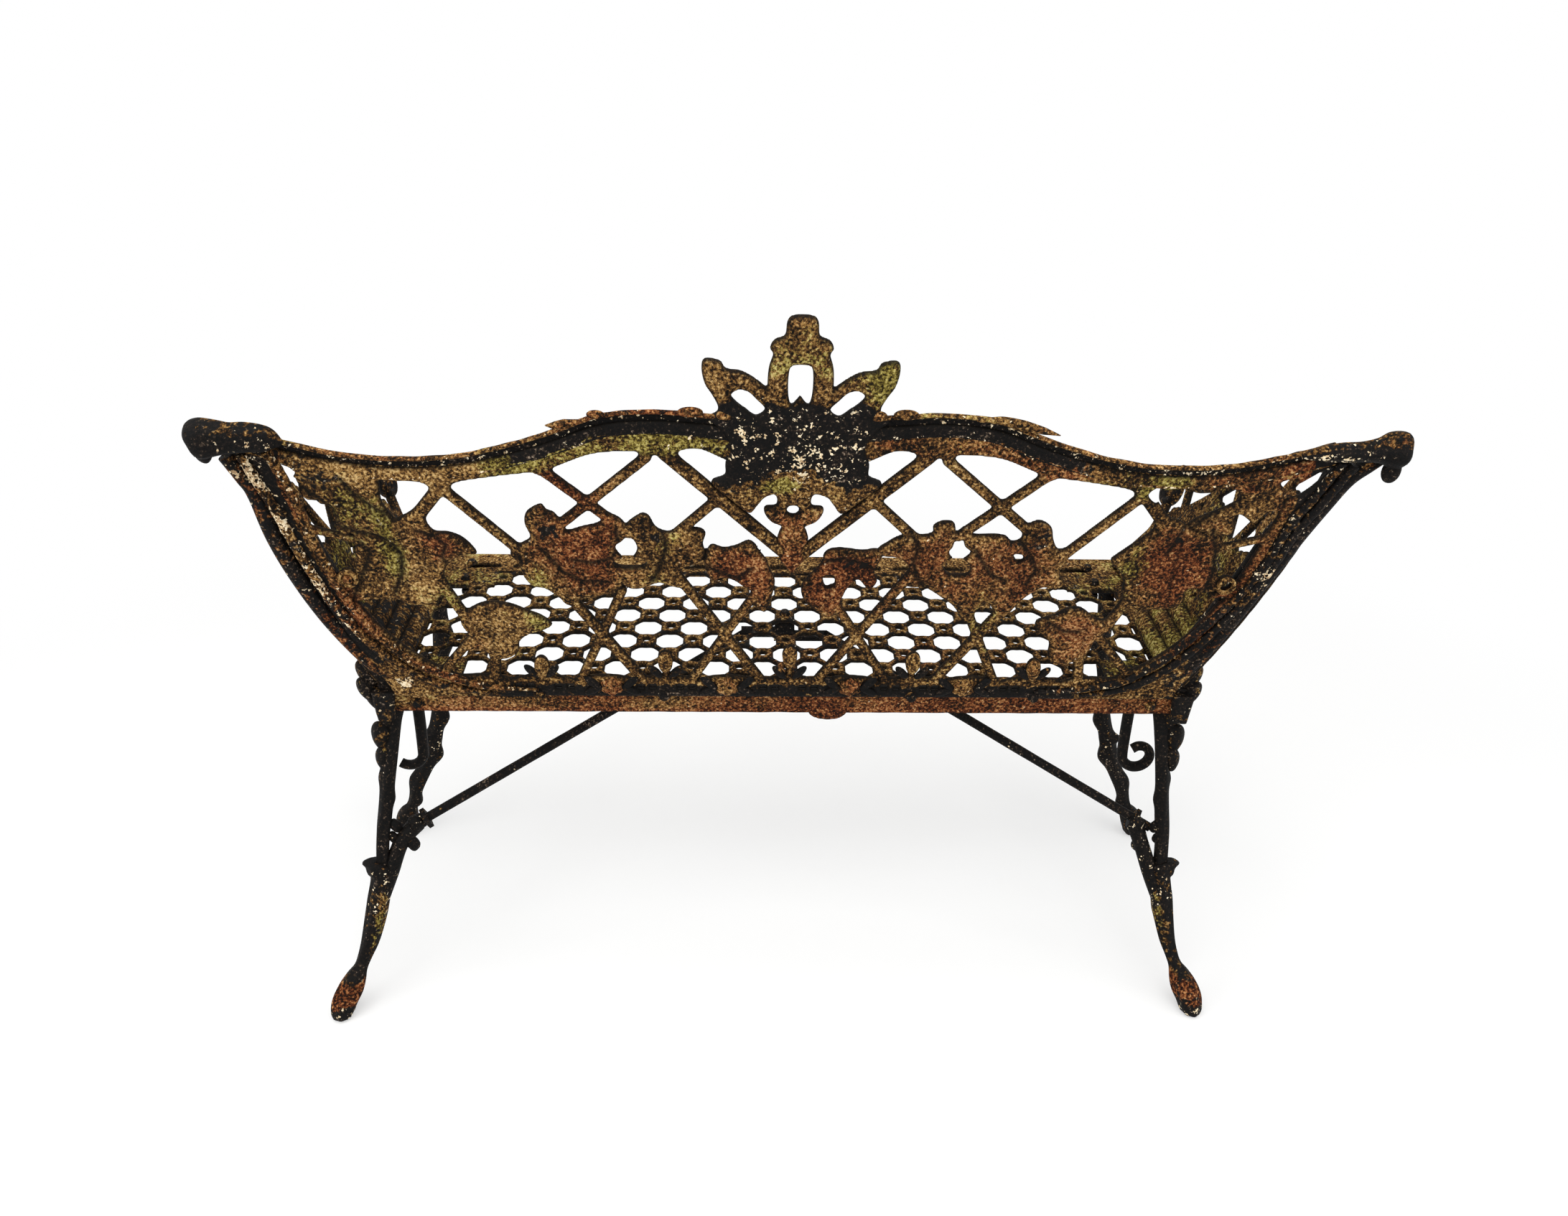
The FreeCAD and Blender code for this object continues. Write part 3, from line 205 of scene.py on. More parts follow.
def weathered_iron(name, black=0.0):
    """Old cast iron. Its tone adds up a fine grain, crumbs (cells of one random level each) and
    patches, and runs along a ramp from black to tan for bare, red or lichened iron. Each covering
    shows where the piece's own value for it and its noise add up to a threshold; pits go dark, and
    the rim value lays a painted shade, near black, along edges and creases."""
    material, shade, shader = new_material(name)
    spot = shade.node("TexCoord", out="Object")
    wear_and_shading = {key: shade.node("Attribute", {"attribute_name": key}, out="Fac") for key in WEAR_AND_SHADING}

    def noise(scale, detail, roughness=0.55):
        sockets = {"Vector": spot, "Scale": scale, "Detail": detail, "Roughness": roughness}
        return shade.node("TexNoise", None, sockets)

    def ramp(level, *stops):
        return shade.node("ValToRGB", {"stops": stops}, {0: level})

    broad, patch = noise(9.0, 3.0), noise(34.0, 4.0)
    grain, flake = noise(300.0, 2.0, 0.65), noise(125.0, 2.0)
    cells = shade.node("TexVoronoi", None, {"Vector": spot, "Scale": 430.0}, out="Color")
    crumb = shade.node("SeparateColor", None, {0: cells})
    mottle = 0.3 * (patch - 0.5) + 0.25 * (noise(16.0, 3.0) - 0.5)
    # The pale value lightens the tone: mostly lighter iron, and on the seat's rings and the pleats' crowns a
    # painted highlight.
    tone = 0.03 + 0.72 * grain + 0.18 * crumb + mottle + 0.07 * wear_and_shading["pale"]
    bare = ramp(tone, (0.36, (0.004, 0.003, 0.002)), (0.45, (0.040, 0.019, 0.007)),
                (0.52, (0.125, 0.061, 0.018)), (0.59, (0.270, 0.150, 0.046)), (0.70, (0.520, 0.350, 0.150)))
    red = ramp(tone, (0.36, (0.007, 0.003, 0.002)), (0.45, (0.052, 0.014, 0.005)),
               (0.52, (0.140, 0.040, 0.013)), (0.59, (0.260, 0.100, 0.034)), (0.70, (0.450, 0.260, 0.110)))
    moss = ramp(tone, (0.36, (0.007, 0.005, 0.002)), (0.45, (0.050, 0.034, 0.007)),
                (0.52, (0.135, 0.100, 0.019)), (0.59, (0.265, 0.210, 0.050)), (0.70, (0.450, 0.380, 0.140)))
    paint = ramp(tone, (0.40, (0.002, 0.002, 0.002)), (0.58, (0.007, 0.005, 0.004)),
                 (0.65, (0.040, 0.027, 0.018)), (0.74, (0.220, 0.165, 0.120)))
    cream = ramp(tone, (0.42, (0.300, 0.190, 0.100)), (0.52, (0.640, 0.490, 0.290)),
                 (0.62, (0.800, 0.690, 0.500)))
    rusted = wear_and_shading["rust"] + 0.9 * (broad - 0.5) + 0.6 * (patch - 0.5) + 0.25 * (crumb - 0.5)
    rusted = rusted.between(0.28, 0.66)
    mossy = wear_and_shading["lichen"] + 0.8 * (0.5 - broad) + 0.9 * (patch - 0.5) + 0.25 * (crumb - 0.5)
    mossy = mossy.between(0.36, 0.62)
    painted = (wear_and_shading["black"] + black + 1.0 * (flake - 0.5) + 0.7 * (patch - 0.5)).between(0.42, 0.54)
    flaked = (0.6 * wear_and_shading["cream"] + 1.1 * (flake - 0.5) + 0.4 * (crumb - 0.5)).between(0.38, 0.43)
    colour = flaked.cover(painted.cover(mossy.cover(rusted.cover(bare, red), moss), paint), cream)
    pits = noise(400.0, 2.0, 0.5).between(0.60, 0.70) * (1 - 0.7 * flaked)
    dark = (0.005, 0.004, 0.003, 1.0)
    # Painted shade: the rim value lays near black along the edges of openings, leaf veins and folds and
    # between pleats; pits are darkened too.
    (0.95 * wear_and_shading["rim"]).cover((0.8 * pits).cover(colour, dark), dark).feed(shader.inputs["Base Color"])
    (0.88 - 0.22 * painted).feed(shader.inputs["Roughness"])
    height = 0.8 * grain + 0.35 * crumb + 0.5 * flaked - 0.5 * pits
    bump = shade.node("Bump", None, {"Strength": 0.6, "Distance": 0.0016, "Height": height})
    bump.feed(shader.inputs["Normal"])
    shader.inputs["Specular IOR Level"].default_value = 0.09
    return material


# The castings' material; its rim value paints shade and its pale value some highlights.
casting_finish = weathered_iron("weathered_casting")


def cast_piece(name, shells, finish, node):
    """One object from closed shells of points in mm, faces, end caps, and values of weathering and of painted
    light and shade.
    """
    points, faces, start = [], [], 0
    wear_and_shading = {key: [] for key in WEAR_AND_SHADING}
    for shell in shells:
        count = len(shell["points"])
        points.append(shell["points"])
        faces += (shell["faces"] + start).tolist() + [(cap + start).tolist() for cap in shell.get("caps", ())]
        for key in WEAR_AND_SHADING:
            wear_and_shading[key].append(np.broadcast_to(shell.get(key, 0.0), count))
        start += count
    mesh = bpy.data.meshes.new(name)
    mesh.from_pydata(np.concatenate(points) * 0.001, [], faces)
    for key in WEAR_AND_SHADING:
        layer = mesh.attributes.new(key, "FLOAT", "POINT")
        layer.data.foreach_set("value", np.concatenate(wear_and_shading[key]).astype(np.float32))
    mesh.polygons.foreach_set("use_smooth", np.ones(len(mesh.polygons), bool))
    mesh.set_sharp_from_angle(angle=math.radians(48))
    mesh.materials.append(finish)
    piece = bpy.data.objects.new(name, mesh)
    scene.collection.objects.link(piece)
    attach(piece, "root")
    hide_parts(node)


def on_seat(x, y, z):
    """Seat coordinates, from the middle of its upper rear edge, turned by the seat's pitch."""
    back = rear_edge[1] + y * math.cos(seat_pitch) + z * math.sin(seat_pitch)
    up = rear_edge[2] - y * math.sin(seat_pitch) + z * math.cos(seat_pitch)
    return np.stack(np.broadcast_arrays(x, back, up), -1)


def lumps(x, t, size=40.0):
    """Gentle unevenness of an old casting: the sum of four crossing waves, within one unit."""
    return (np.sin(x / size * 2.1 + 0.7 + np.sin(t / size * 1.3)) + np.sin(t / size * 2.7 + 1.9)
            + np.sin((x + t) / size * 1.6 + 4.0) + np.sin((x - 1.4 * t) / size * 3.1 + 2.2)) / 4


def edge_round(depth, radius):
    """How far a surface sinks below its level within a radius of its edge, as a quarter circle."""
    reach = radius - np.minimum(depth, radius)
    return radius - np.sqrt(np.maximum(radius ** 2 - reach ** 2, 0.0))


def fade(value, low, high):
    """A smooth rise from 0 to 1 between two values."""
    share = np.clip((value - low) / (high - low), 0, 1)
    return share * share * (3 - 2 * share)


def blob(x, t, at, reach):
    """A soft round patch about a point."""
    return np.exp(-((x - at[0]) / reach[0]) ** 2 - ((t - at[1]) / reach[1]) ** 2)


def pierced_plate(xs, ts, field, front, rear, place, flip=False):
    """Both faces and the rim of a pierced plate. field gives the depth inside the metal at x, t.
    Grid squares that touch metal are kept, with one more where two meet at a corner only, and their
    outer corners slide down the field's slope on to its edge; front and rear give each face's level.
    The rim value is painted shade, near black on the walls and at each edge, gone about 3 mm inside."""
    x, t = np.meshgrid(xs, ts, indexing="ij")
    depth = field(x, t)
    least, most, probe, slides, rim_shade_reach = 0.1, 3.0, 0.4, 3, 2.7
    solid = depth > least
    kept = solid[:-1, :-1] | solid[1:, :-1] | solid[1:, 1:] | solid[:-1, 1:]
    kept[1:, :-1] |= kept[:-1, :-1] & kept[1:, 1:] & ~kept[:-1, 1:]
    kept[:-1, :-1] |= kept[1:, :-1] & kept[:-1, 1:] & ~kept[1:, 1:]
    number = np.arange(x.size).reshape(x.shape)
    quads = np.stack([number[:-1, :-1], number[1:, :-1], number[1:, 1:], number[:-1, 1:]], -1)[kept]
    used, quads = np.unique(quads, return_inverse=True)
    quads = quads.reshape(-1, 4)
    x, t, depth = x.ravel()[used], t.ravel()[used], depth.ravel()[used]
    edge = depth <= least
    for _ in range(slides):
        ex, et = x[edge], t[edge]
        slope_x = field(ex + probe, et) - field(ex - probe, et)
        slope_t = field(ex, et + probe) - field(ex, et - probe)
        move = np.clip(-2 * probe * field(ex, et) / (slope_x ** 2 + slope_t ** 2 + 1e-4), -most, most)
        x[edge] += np.clip(slope_x * move, -most, most)
        t[edge] += np.clip(slope_t * move, -most, most)
    depth[edge] = 0.0
    sides = quads[:, [0, 1, 1, 2, 2, 3, 3, 0]].reshape(-1, 2)
    key = sides.min(1) * len(x) + sides.max(1)
    first, count = np.unique(key, return_index=True, return_counts=True)[1:]
    rim = sides[first[count == 1]]
    shift = len(x)
    walls = np.stack([rim[:, 0] + shift, rim[:, 1] + shift, rim[:, 1], rim[:, 0]], -1)
    faces = np.concatenate([quads, quads[:, ::-1] + shift, walls])
    points = np.concatenate([place(x, t, front(x, t, depth)), place(x, t, rear(x, t, depth))])
    # Painted shade along the edges and walls of the openings.
    rim_shade = np.clip(1.15 - depth / rim_shade_reach, 0, 1)
    return {"points": points, "faces": faces[:, ::-1] if flip else faces,
            "x": np.tile(x, 2), "t": np.tile(t, 2), "rim": np.tile(rim_shade, 2)}


def melt(a, b, radius):
    """The union of two depths with a fillet where they meet."""
    share = np.clip(0.5 + 0.5 * (a - b) / radius, 0, 1)
    return a * share + b * (1 - share) + radius * share * (1 - share)


def grid_cell(x, y):
    """Place within one cell of the seat's turned square grid, from the ring at its middle."""
    p = (x + y + grid_start) / (2 * grid_half)
    q = (x - y - grid_start) / (2 * grid_half)
    pitch = grid_half * math.sqrt(2)
    return pitch * (p - np.round(p)), pitch * (q - np.round(q))


def seat_metal(x, y):
    """Depth inside the seat's metal: rings and diagonal webs of a turned square grid, joined to a
    solid border and to the pads over the legs, less the ring bores and the front row of slots."""
    p, q = grid_cell(x, y)
    ring = ring_radius - np.hypot(p, q)
    web = web_half - np.minimum(np.abs(p), np.abs(q))
    grid = np.minimum(melt(ring, web, ring_fillet), np.hypot(p, q) - ring_bore)
    border = np.maximum(np.maximum(np.abs(x) - border_end, y + border_rear), -border_front - y)
    pads = np.minimum(np.abs(x) - leg_pad_edge, np.maximum(y + leg_pad_rear, -leg_pad_front - y))
    slots = np.abs((x + slot_pitch / 2) % slot_pitch - slot_pitch / 2) - slot_half
    slots = np.hypot(np.maximum(slots + ring_bore, 0), y - slot_row) - ring_bore
    slots = np.where(np.abs(x) < slot_end, slots, 50)
    outside = np.minimum(seat_half - np.abs(x), np.minimum(-rear_gap - y, y + seat_depth))
    return np.minimum(np.minimum(np.maximum(grid, np.maximum(border, pads)), slots), outside)


def seat_top(x, y, depth):
    """The upper face: rounded edges, and rings that stand a little above the webs."""
    off_ring = fade(np.hypot(*grid_cell(x, y)), 8, 15)
    return -edge_round(depth, top_round) - web_drop * off_ring + 0.35 * lumps(x, y, 22)


def seat_under(x, y, depth):
    """The lower face, rounded so far that the webs are nearly oval in section."""
    return -seat_plate + edge_round(depth, under_round)


for side, label in ((1, "left"), (-1, "right")):
    columns = np.sort(side * np.linspace(0.0, seat_half, seat_columns))
    rows = np.arange(-seat_depth - 2, 2.2, seat_step)
    grating = pierced_plate(columns, rows, seat_metal, seat_top, seat_under, on_seat)
    gx, gy = grating["x"], grating["t"]
    ring_gap = np.hypot(*grid_cell(gx, gy))
    in_grid = fade(gy, -285, -270) * fade(-gy, 24, 34) * fade(-np.abs(gx), -470, -462)
    grating["rust"] = 0.12 + 0.3 * blob(gx, gy, (-90, -60), (250, 60))
    grating["lichen"] = 0.1 + 0.25 * fade(gx, 150, 420) + 0.25 * fade(-gx, 250, 450)
    grating["black"] = (0.16 + in_grid * (0.2 * fade(ring_gap, 9, 14) + 0.1)
                        - 0.12 * fade(np.abs(gx), 250, 450))
    # On the rings, pale is a painted highlight on their raised tops.
    grating["pale"] = 0.7 * fade(-gy, 270, 300) + 0.5 * in_grid * (1 - fade(ring_gap, 7, 12))
    cast_piece("seat_grating_" + label, [grating], casting_finish, "seat")

# Seat skirts: flat walls cast under the front and the ends of the seat, a bead along the front
# edge, a hub under the middle ring for the braces and four blocks for the back's screws.
skirt_drop, skirt_wall, skirt_inset, skirt_rear, bead_radius = 30.0, 8.0, 1.0, -9.0, 8.0
hub_y, hub_width, hub_under, hub_bite, hub_round = -165.0, 26.0, -26.0, 1.0, 4.0
screw_block_places, screw_block_half, screw_block_round = (-300, -150, 150, 300), 11.0, 2.0
screw_block_low, screw_block_high = (-20.0, -22.0), (-6.0, -4.0)
bead_steps = 120


def sweep(path, across, profile, loop=False):
    """A closed profile carried along a path. Each ring is the profile's two coordinates laid along
    the across direction, squared to the path, and along the direction square to both."""
    path = np.asarray(path, float)
    tangent = np.roll(path, -1, 0) - np.roll(path, 1, 0) if loop else np.gradient(path, axis=0)
    tangent /= np.linalg.norm(tangent, axis=1, keepdims=True)
    across = np.broadcast_to(np.asarray(across, float), path.shape)
    across = across - tangent * (across * tangent).sum(1, keepdims=True)
    across = across / np.linalg.norm(across, axis=1, keepdims=True)
    lift = np.cross(tangent, across)
    profile = np.broadcast_to(profile, (len(path), *np.shape(profile)[-2:]))
    points = path[:, None] + across[:, None] * profile[..., :1] + lift[:, None] * profile[..., 1:]
    rings, around = profile.shape[:2]
    number = np.arange(rings * around).reshape(rings, around)
    here, turned = number, np.roll(number, -1, 1)
    onward, corner = np.roll(here, -1, 0), np.roll(turned, -1, 0)
    quads = np.stack([here, turned, corner, onward], -1)
    quads = quads if loop else quads[:-1]
    caps = () if loop else (number[0, ::-1], number[-1])
    return {"points": points.reshape(-1, 3), "faces": quads.reshape(-1, 4), "caps": caps,
            "along": np.repeat(np.linspace(0, 1, rings), around),
            "angle": np.tile(np.linspace(0, 2 * np.pi, around, endpoint=False), rings)}


def round_profile(wide, high, around=20):
    """Circles or ovals of given half sizes, one for each place along a path."""
    turn = np.linspace(0, 2 * np.pi, around, endpoint=False)
    wide, high = np.atleast_1d(wide)[:, None], np.atleast_1d(high)[:, None]
    return np.stack(np.broadcast_arrays(wide * np.cos(turn), high * np.sin(turn)), -1)


def box_profile(width, height, radius, steps=5):
    """A rectangle with rounded corners about the origin, anticlockwise."""
    turn = np.linspace(0, np.pi / 2, steps)
    corners = []
    for quarter, (sx, sy) in enumerate(((1, 1), (-1, 1), (-1, -1), (1, -1))):
        angle = turn + quarter * np.pi / 2
        corners.append(np.stack([sx * (width / 2 - radius) + radius * np.cos(angle),
                                 sy * (height / 2 - radius) + radius * np.sin(angle)], -1))
    return np.concatenate(corners)


def seat_block(low, high, radius=2.5):
    """A block with rounded edges between two corners of the seat's frame."""
    low, high = np.asarray(low, float), np.asarray(high, float)
    run = np.linspace(low[0], high[0], 40 if high[0] - low[0] > 200 else 10)
    middle = (low + high) / 2
    return sweep(on_seat(run, middle[1], middle[2]), upright,
                 box_profile(high[2] - low[2], high[1] - low[1], radius))


front_line = np.linspace(-seat_half, seat_half, bead_steps)
front_path = on_seat(front_line, -seat_depth, -bead_radius)
skirts = [seat_block((skirt_inset - seat_half, -seat_depth, -skirt_drop),
                     (seat_half - skirt_inset, skirt_wall - seat_depth, -skirt_inset))]
for inner in (seat_half - skirt_wall, -seat_half):
    skirts.append(seat_block((inner, -seat_depth, -skirt_drop),
                             (inner + skirt_wall, skirt_rear, -skirt_inset)))
skirts = [dict(shell, rust=0.35, black=0.15, lichen=0.1) for shell in skirts]
front_bead = sweep(front_path, upright, round_profile(bead_radius, bead_radius))
bead_lichen = 0.15 + 0.25 * fade(front_bead["points"][:, 0], 100, 400)
skirts.append(dict(front_bead, rust=0.15, pale=0.7, lichen=bead_lichen))
hub = seat_block((-hub_width / 2, hub_y - hub_width / 2, hub_under),
                 (hub_width / 2, hub_y + hub_width / 2, hub_bite - seat_plate), hub_round)
skirts.append(dict(hub, black=0.8))
for x in screw_block_places:
    block = seat_block((x - screw_block_half, *screw_block_low), (x + screw_block_half, *screw_block_high),
                       screw_block_round)
    skirts.append(dict(block, black=0.5))
cast_piece("seat_skirts", skirts, casting_finish, "seat")

# Apron: the seat's rear wall, cast with it and leaning with the back, which is screwed to it.
# One round lug hangs below it, and a bolt near each end holds a rear leg.
back_lean = math.radians(12)
apron_height, apron_wall, apron_front_round, apron_rear_round = 42.0, 8.0, 2.0, 3.0
apron_bolt_x, apron_bolt_down, apron_bolt_hole = 452.0, 26.0, 4.3
apron_lug_x, apron_lug_radius, apron_lug_squeeze = -50.0, 13.0, 0.55


def on_panel(x, t, n):
    """Back coordinates: along, up the panel, and out of it towards the front."""
    back = rear_edge[1] + t * math.sin(back_lean) - n * math.cos(back_lean)
    up = rear_edge[2] + t * math.cos(back_lean) + n * math.sin(back_lean)
    return np.stack(np.broadcast_arrays(x, back, up), -1)


def apron_metal(x, t):
    """Depth inside a long strip with one round lug below it and a bolt hole near each end."""
    strip = np.minimum(np.minimum(seat_half - np.abs(x), -t), t + apron_height)
    lug = apron_lug_radius - np.hypot((x - apron_lug_x) * apron_lug_squeeze, t + apron_height - 1)
    holes = np.hypot(np.abs(x) - apron_bolt_x, t + apron_bolt_down) - apron_bolt_hole
    return np.minimum(np.maximum(strip, lug), holes)


apron_columns, apron_rows = np.linspace(-seat_half - 2, seat_half + 2, 400), np.arange(-58, 3, 2.2)
apron = pierced_plate(apron_columns, apron_rows, apron_metal,
                      lambda x, t, d: apron_wall - edge_round(d, apron_front_round),
                      lambda x, t, d: edge_round(d, apron_rear_round) - 0.5 + 0.6 * lumps(x, t, 18),
                      on_panel)
ax, at = apron["x"], apron["t"]
apron["rust"] = (0.45 + 0.5 * fade(-at, 30, 44) + 0.2 * fade(-ax, -100, 200)
                 - 0.15 * fade(np.abs(ax), 250, 480))
# Fainter painted shade along the apron's edges.
apron["rim"] = 0.6 * apron["rim"]
apron["black"] = 0.75 * fade(at, -14, -9) + 0.12 * fade(-ax, 100, 300)
apron["pale"] = 0.25 - 0.45 * fade(-at, 34, 42) - 0.2 * fade(-ax, 0, 300)
apron["lichen"] = 0.1 + 0.2 * fade(ax, 150, 420)
cast_piece("seat_apron", [apron], casting_finish, "seat")

# Back: one openwork casting of lattice bars and vine leaves between a top rail, two side bars
# and a foot rail, screwed to the apron and bolted to the arms. It is modelled in two halves.
left_leaves = [
    [(392, 262), (396, 245), (390, 229), (374, 227), (360, 220), (350, 207), (348, 199), (362, 198),
     (378, 188), (387, 172), (386, 152), (396, 140), (408, 131), (430, 128), (446, 137), (462, 136),
     (482, 134), (497, 138), (490, 157), (482, 180), (478, 205), (474, 222), (486, 230), (478, 242),
     (458, 250), (440, 240), (424, 246), (408, 254)],
    [(376, 114), (360, 127), (343, 133), (320, 130), (300, 120), (286, 113), (275, 101), (287, 92),
     (303, 86), (315, 75), (318, 60), (331, 50), (347, 50), (358, 60), (380, 64), (371, 80), (378, 99)],
    [(272, 264), (287, 255), (291, 240), (287, 222), (300, 212), (311, 200), (303, 187), (300, 170),
     (291, 156), (278, 153), (264, 141), (254, 130), (236, 140), (216, 143), (200, 150), (190, 160),
     (180, 185), (186, 192), (196, 209), (186, 220), (182, 232), (188, 246), (200, 251), (213, 241),
     (230, 236), (247, 231), (252, 241), (258, 253), (266, 257)],
    [(170, 251), (180, 243), (186, 232), (177, 222), (172, 209), (178, 196), (192, 186), (190, 160),
     (178, 153), (165, 156), (150, 162), (138, 158), (126, 156), (128, 170), (122, 182), (106, 190),
     (98, 202), (100, 216), (97, 230), (106, 236), (120, 233), (136, 230), (150, 236), (157, 250),
     (164, 254)],
    [(98, 200), (91, 214), (78, 210), (64, 213), (50, 220), (40, 212), (32, 200), (26, 182), (20, 165),
     (24, 140), (30, 122), (42, 130), (46, 150), (56, 158), (66, 166), (78, 170), (90, 166), (98, 182)],
    [(535, 315), (521, 293), (519, 271), (501, 262), (492, 256), (493, 233), (482, 223), (472, 229),
     (443, 225), (429, 241), (438, 263), (438, 291), (450, 306)],
]
right_leaves = [
    [(395, 256), (402, 256), (420, 252), (436, 241), (448, 238), (466, 235), (476, 220), (473, 200),
     (481, 180), (486, 160), (470, 154), (452, 156), (447, 136), (430, 130), (410, 130), (396, 131),
     (386, 140), (377, 152), (375, 170), (369, 181), (355, 197), (361, 206), (376, 221), (386, 231),
     (393, 240)],
    [(285, 110), (305, 120), (320, 130), (335, 130), (355, 115), (375, 112), (367, 100), (360, 85),
     (355, 65), (347, 55), (330, 45), (315, 45), (307, 60), (305, 80), (290, 95)],
    [(262, 249), (252, 241), (249, 226), (240, 222), (232, 229), (220, 231), (196, 231), (184, 238),
     (188, 216), (196, 207), (186, 196), (176, 200), (172, 208), (176, 218), (174, 244), (162, 248),
     (151, 242), (150, 232), (131, 228), (116, 228), (101, 218), (93, 210), (100, 201), (118, 198),
     (131, 182), (131, 160), (150, 158), (168, 146), (186, 131), (198, 112), (206, 112), (222, 138),
     (236, 120), (246, 116), (262, 140), (272, 151), (285, 160), (300, 156), (308, 166), (300, 180),
     (305, 200), (303, 211), (292, 213), (285, 226), (281, 240), (272, 248)],
    [(35, 206), (50, 211), (75, 208), (92, 210), (98, 200), (91, 181), (95, 166), (86, 155), (73, 169),
     (62, 156), (56, 140), (46, 115), (28, 124), (13, 140), (10, 160), (20, 176), (30, 190)],
    [(471, 297), (477, 278), (430, 248), (460, 235), (476, 233), (482, 240), (479, 260), (499, 249),
     (512, 263), (525, 265), (526, 282), (523, 294), (500, 304)],
]
left_holes = [
    [(534, 313), (527, 310), (520, 303), (521, 298), (526, 294), (531, 302)],
    [(512, 266), (505, 266), (503, 258), (510, 255)],
    [(498, 250), (492, 250), (491, 240), (497, 239)],
    [(503, 214), (495, 210), (497, 199), (504, 203)],
    [(489, 211), (481, 208), (483, 197), (489, 201)],
    [(437, 291), (426, 258), (414, 262), (390, 279), (393, 289), (415, 291)],
    [(196, 194), (166, 196), (166, 184), (195, 184)],
    [(41, 211), (34, 208), (16, 187), (20, 182)],
]
right_holes = [
    [(524, 290), (529, 282), (543, 287), (557, 303), (567, 322), (556, 316), (540, 303)],
    [(479, 259), (486, 260), (499, 249), (491, 242), (483, 247)],
    [(514, 260), (517, 266), (525, 265), (525, 254), (516, 256)],
    [(447, 293), (472, 291), (474, 282), (455, 278)],
    [(403, 262), (400, 284), (407, 291), (419, 290), (419, 271), (425, 253)],
    [(378, 283), (383, 292), (393, 292), (390, 273)],
    [(448, 156), (462, 160), (467, 138), (468, 123)],
    [(13, 189), (21, 201), (34, 197), (20, 188)],
    [(167, 195), (184, 199), (197, 190), (197, 178), (184, 176), (172, 179)],
    [(244, 206), (253, 205), (256, 198), (249, 196)],
    [(34, 174), (45, 174), (47, 160), (37, 158)],
]
lattice_bars = [
    ((266, 306), (180, 228), 12), ((158, 322), (265, 228), 12), ((135, 325), (5, 199), 16),
    ((80, 276), (135, 222), 12), ((374, 284), (300, 203), 12), ((374, 284), (410, 240), 15),
    ((132, 176), (28, 8), 12), ((40, 150), (122, 8), 11), ((254, 145), (170, 8), 13),
    ((192, 150), (252, 8), 11), ((392, 158), (368, 100), 13), ((345, 60), (352, 8), 13),
    ((470, 215), (530, 232), 9), ((482, 150), (520, 158), 9), ((356, 96), (415, 22), 11),
]
rail_top_line = [(0, 371), (80, 374), (150, 378), (205, 372), (255, 352), (310, 334), (360, 323), (410, 320),
                 (460, 323), (510, 334), (560, 350), (600, 360)]
rail_foot_line = [(0, 300), (66, 318), (104, 334), (140, 327), (172, 330), (214, 326), (262, 307),
                  (310, 299), (350, 292), (375, 284), (400, 291), (440, 291), (480, 294), (520, 304),
                  (560, 316), (600, 330)]
posts = [(0, 71), (147, 62), (293, 53)]
post_gap = 73.4
post_foot, stem_half, bud_half, bud_drop, bud_squeeze = 5, 4.5, 9.0, 14.0, 0.62
bar_fillet, small_fillet, rail_fillet, side_fillet = 5.0, 4.0, 10.0, 6.0
far_out = -16.0
back_plate, panel_round, rail_cover, rail_plate_end = 8.0, 3.4, 12.0, 580.0
stile_top, corner_top, corner_start = 324.0, 140.0, 300.0
panel_end, panel_columns = 592, 330
panel_low, panel_high, panel_step = -18, 372, 1.8
foot_rail_top, foot_rail_dip, foot_rail_foot = 24.0, 9.0, 9.0
eyelets, eyelet_wide, eyelet_high, eyelet_middle = (16.5, 31.0), 4.0, 4.5, 6.0
corner_centre, corner_radius = (291.0, 210.0), 213.0
ring_boss, ring_boss_radius, ring_boss_hole = (492.0, 167.0), 11.0, 6.5
arm_foot, arm_flare, arm_height, arm_bow = 503.0, 92.0, 330.0, 14.0
stile_out, stile_in = 26.0, 58.0
chord = math.hypot(arm_flare, arm_height)
bow_radius = (chord ** 2 / 4 + arm_bow ** 2) / (2 * arm_bow)
bow_x = arm_foot + arm_flare / 2 - (bow_radius - arm_bow) * arm_height / chord
bow_h = arm_height / 2 + (bow_radius - arm_bow) * arm_flare / chord


def bow(height, inset=0.0):
    """X of the arm's outside, an arc, at a height above the seat, or of a curve inside it."""
    return bow_x + np.sqrt((bow_radius - inset) ** 2 - (height - bow_h) ** 2)


def cubic(a, b, c, d, u):
    """A Catmull-Rom cubic at a share u of the way from b to c, with a before them and d after."""
    return 0.5 * (2 * b + (c - a) * u + (2 * a - 5 * b + 4 * c - d) * u ** 2
                  + (3 * b - a - 3 * c + d) * u ** 3)


def through(points, count):
    """A smooth open line through points: a cubic between each two."""
    points = np.asarray(points, float)
    ends = np.concatenate([[2 * points[0] - points[1]], points, [2 * points[-1] - points[-2]]])
    at = np.linspace(0, len(points) - 1, count)
    span = np.minimum(at.astype(int), len(points) - 2)
    return cubic(*(ends[span + k] for k in range(4)), (at - span)[:, None])


def closed_curve(points, side=1, parts=4):
    """A smooth closed line through points: a cubic between each two, round to the first again."""
    b = (np.asarray(points, float) * (side, 1))[:, None]
    a, c, d = np.roll(b, 1, 0), np.roll(b, -1, 0), np.roll(b, -2, 0)
    u = (np.arange(parts) / parts)[None, :, None]
    return cubic(a, b, c, d, u).reshape(-1, 2)


def segment_gap(x, t, a, b):
    """Distance to a straight run between two points."""
    run = np.subtract(b, a)
    share = np.clip(((x - a[0]) * run[0] + (t - a[1]) * run[1]) / (run @ run), 0, 1)
    return np.hypot(x - a[0] - share * run[0], t - a[1] - share * run[1])


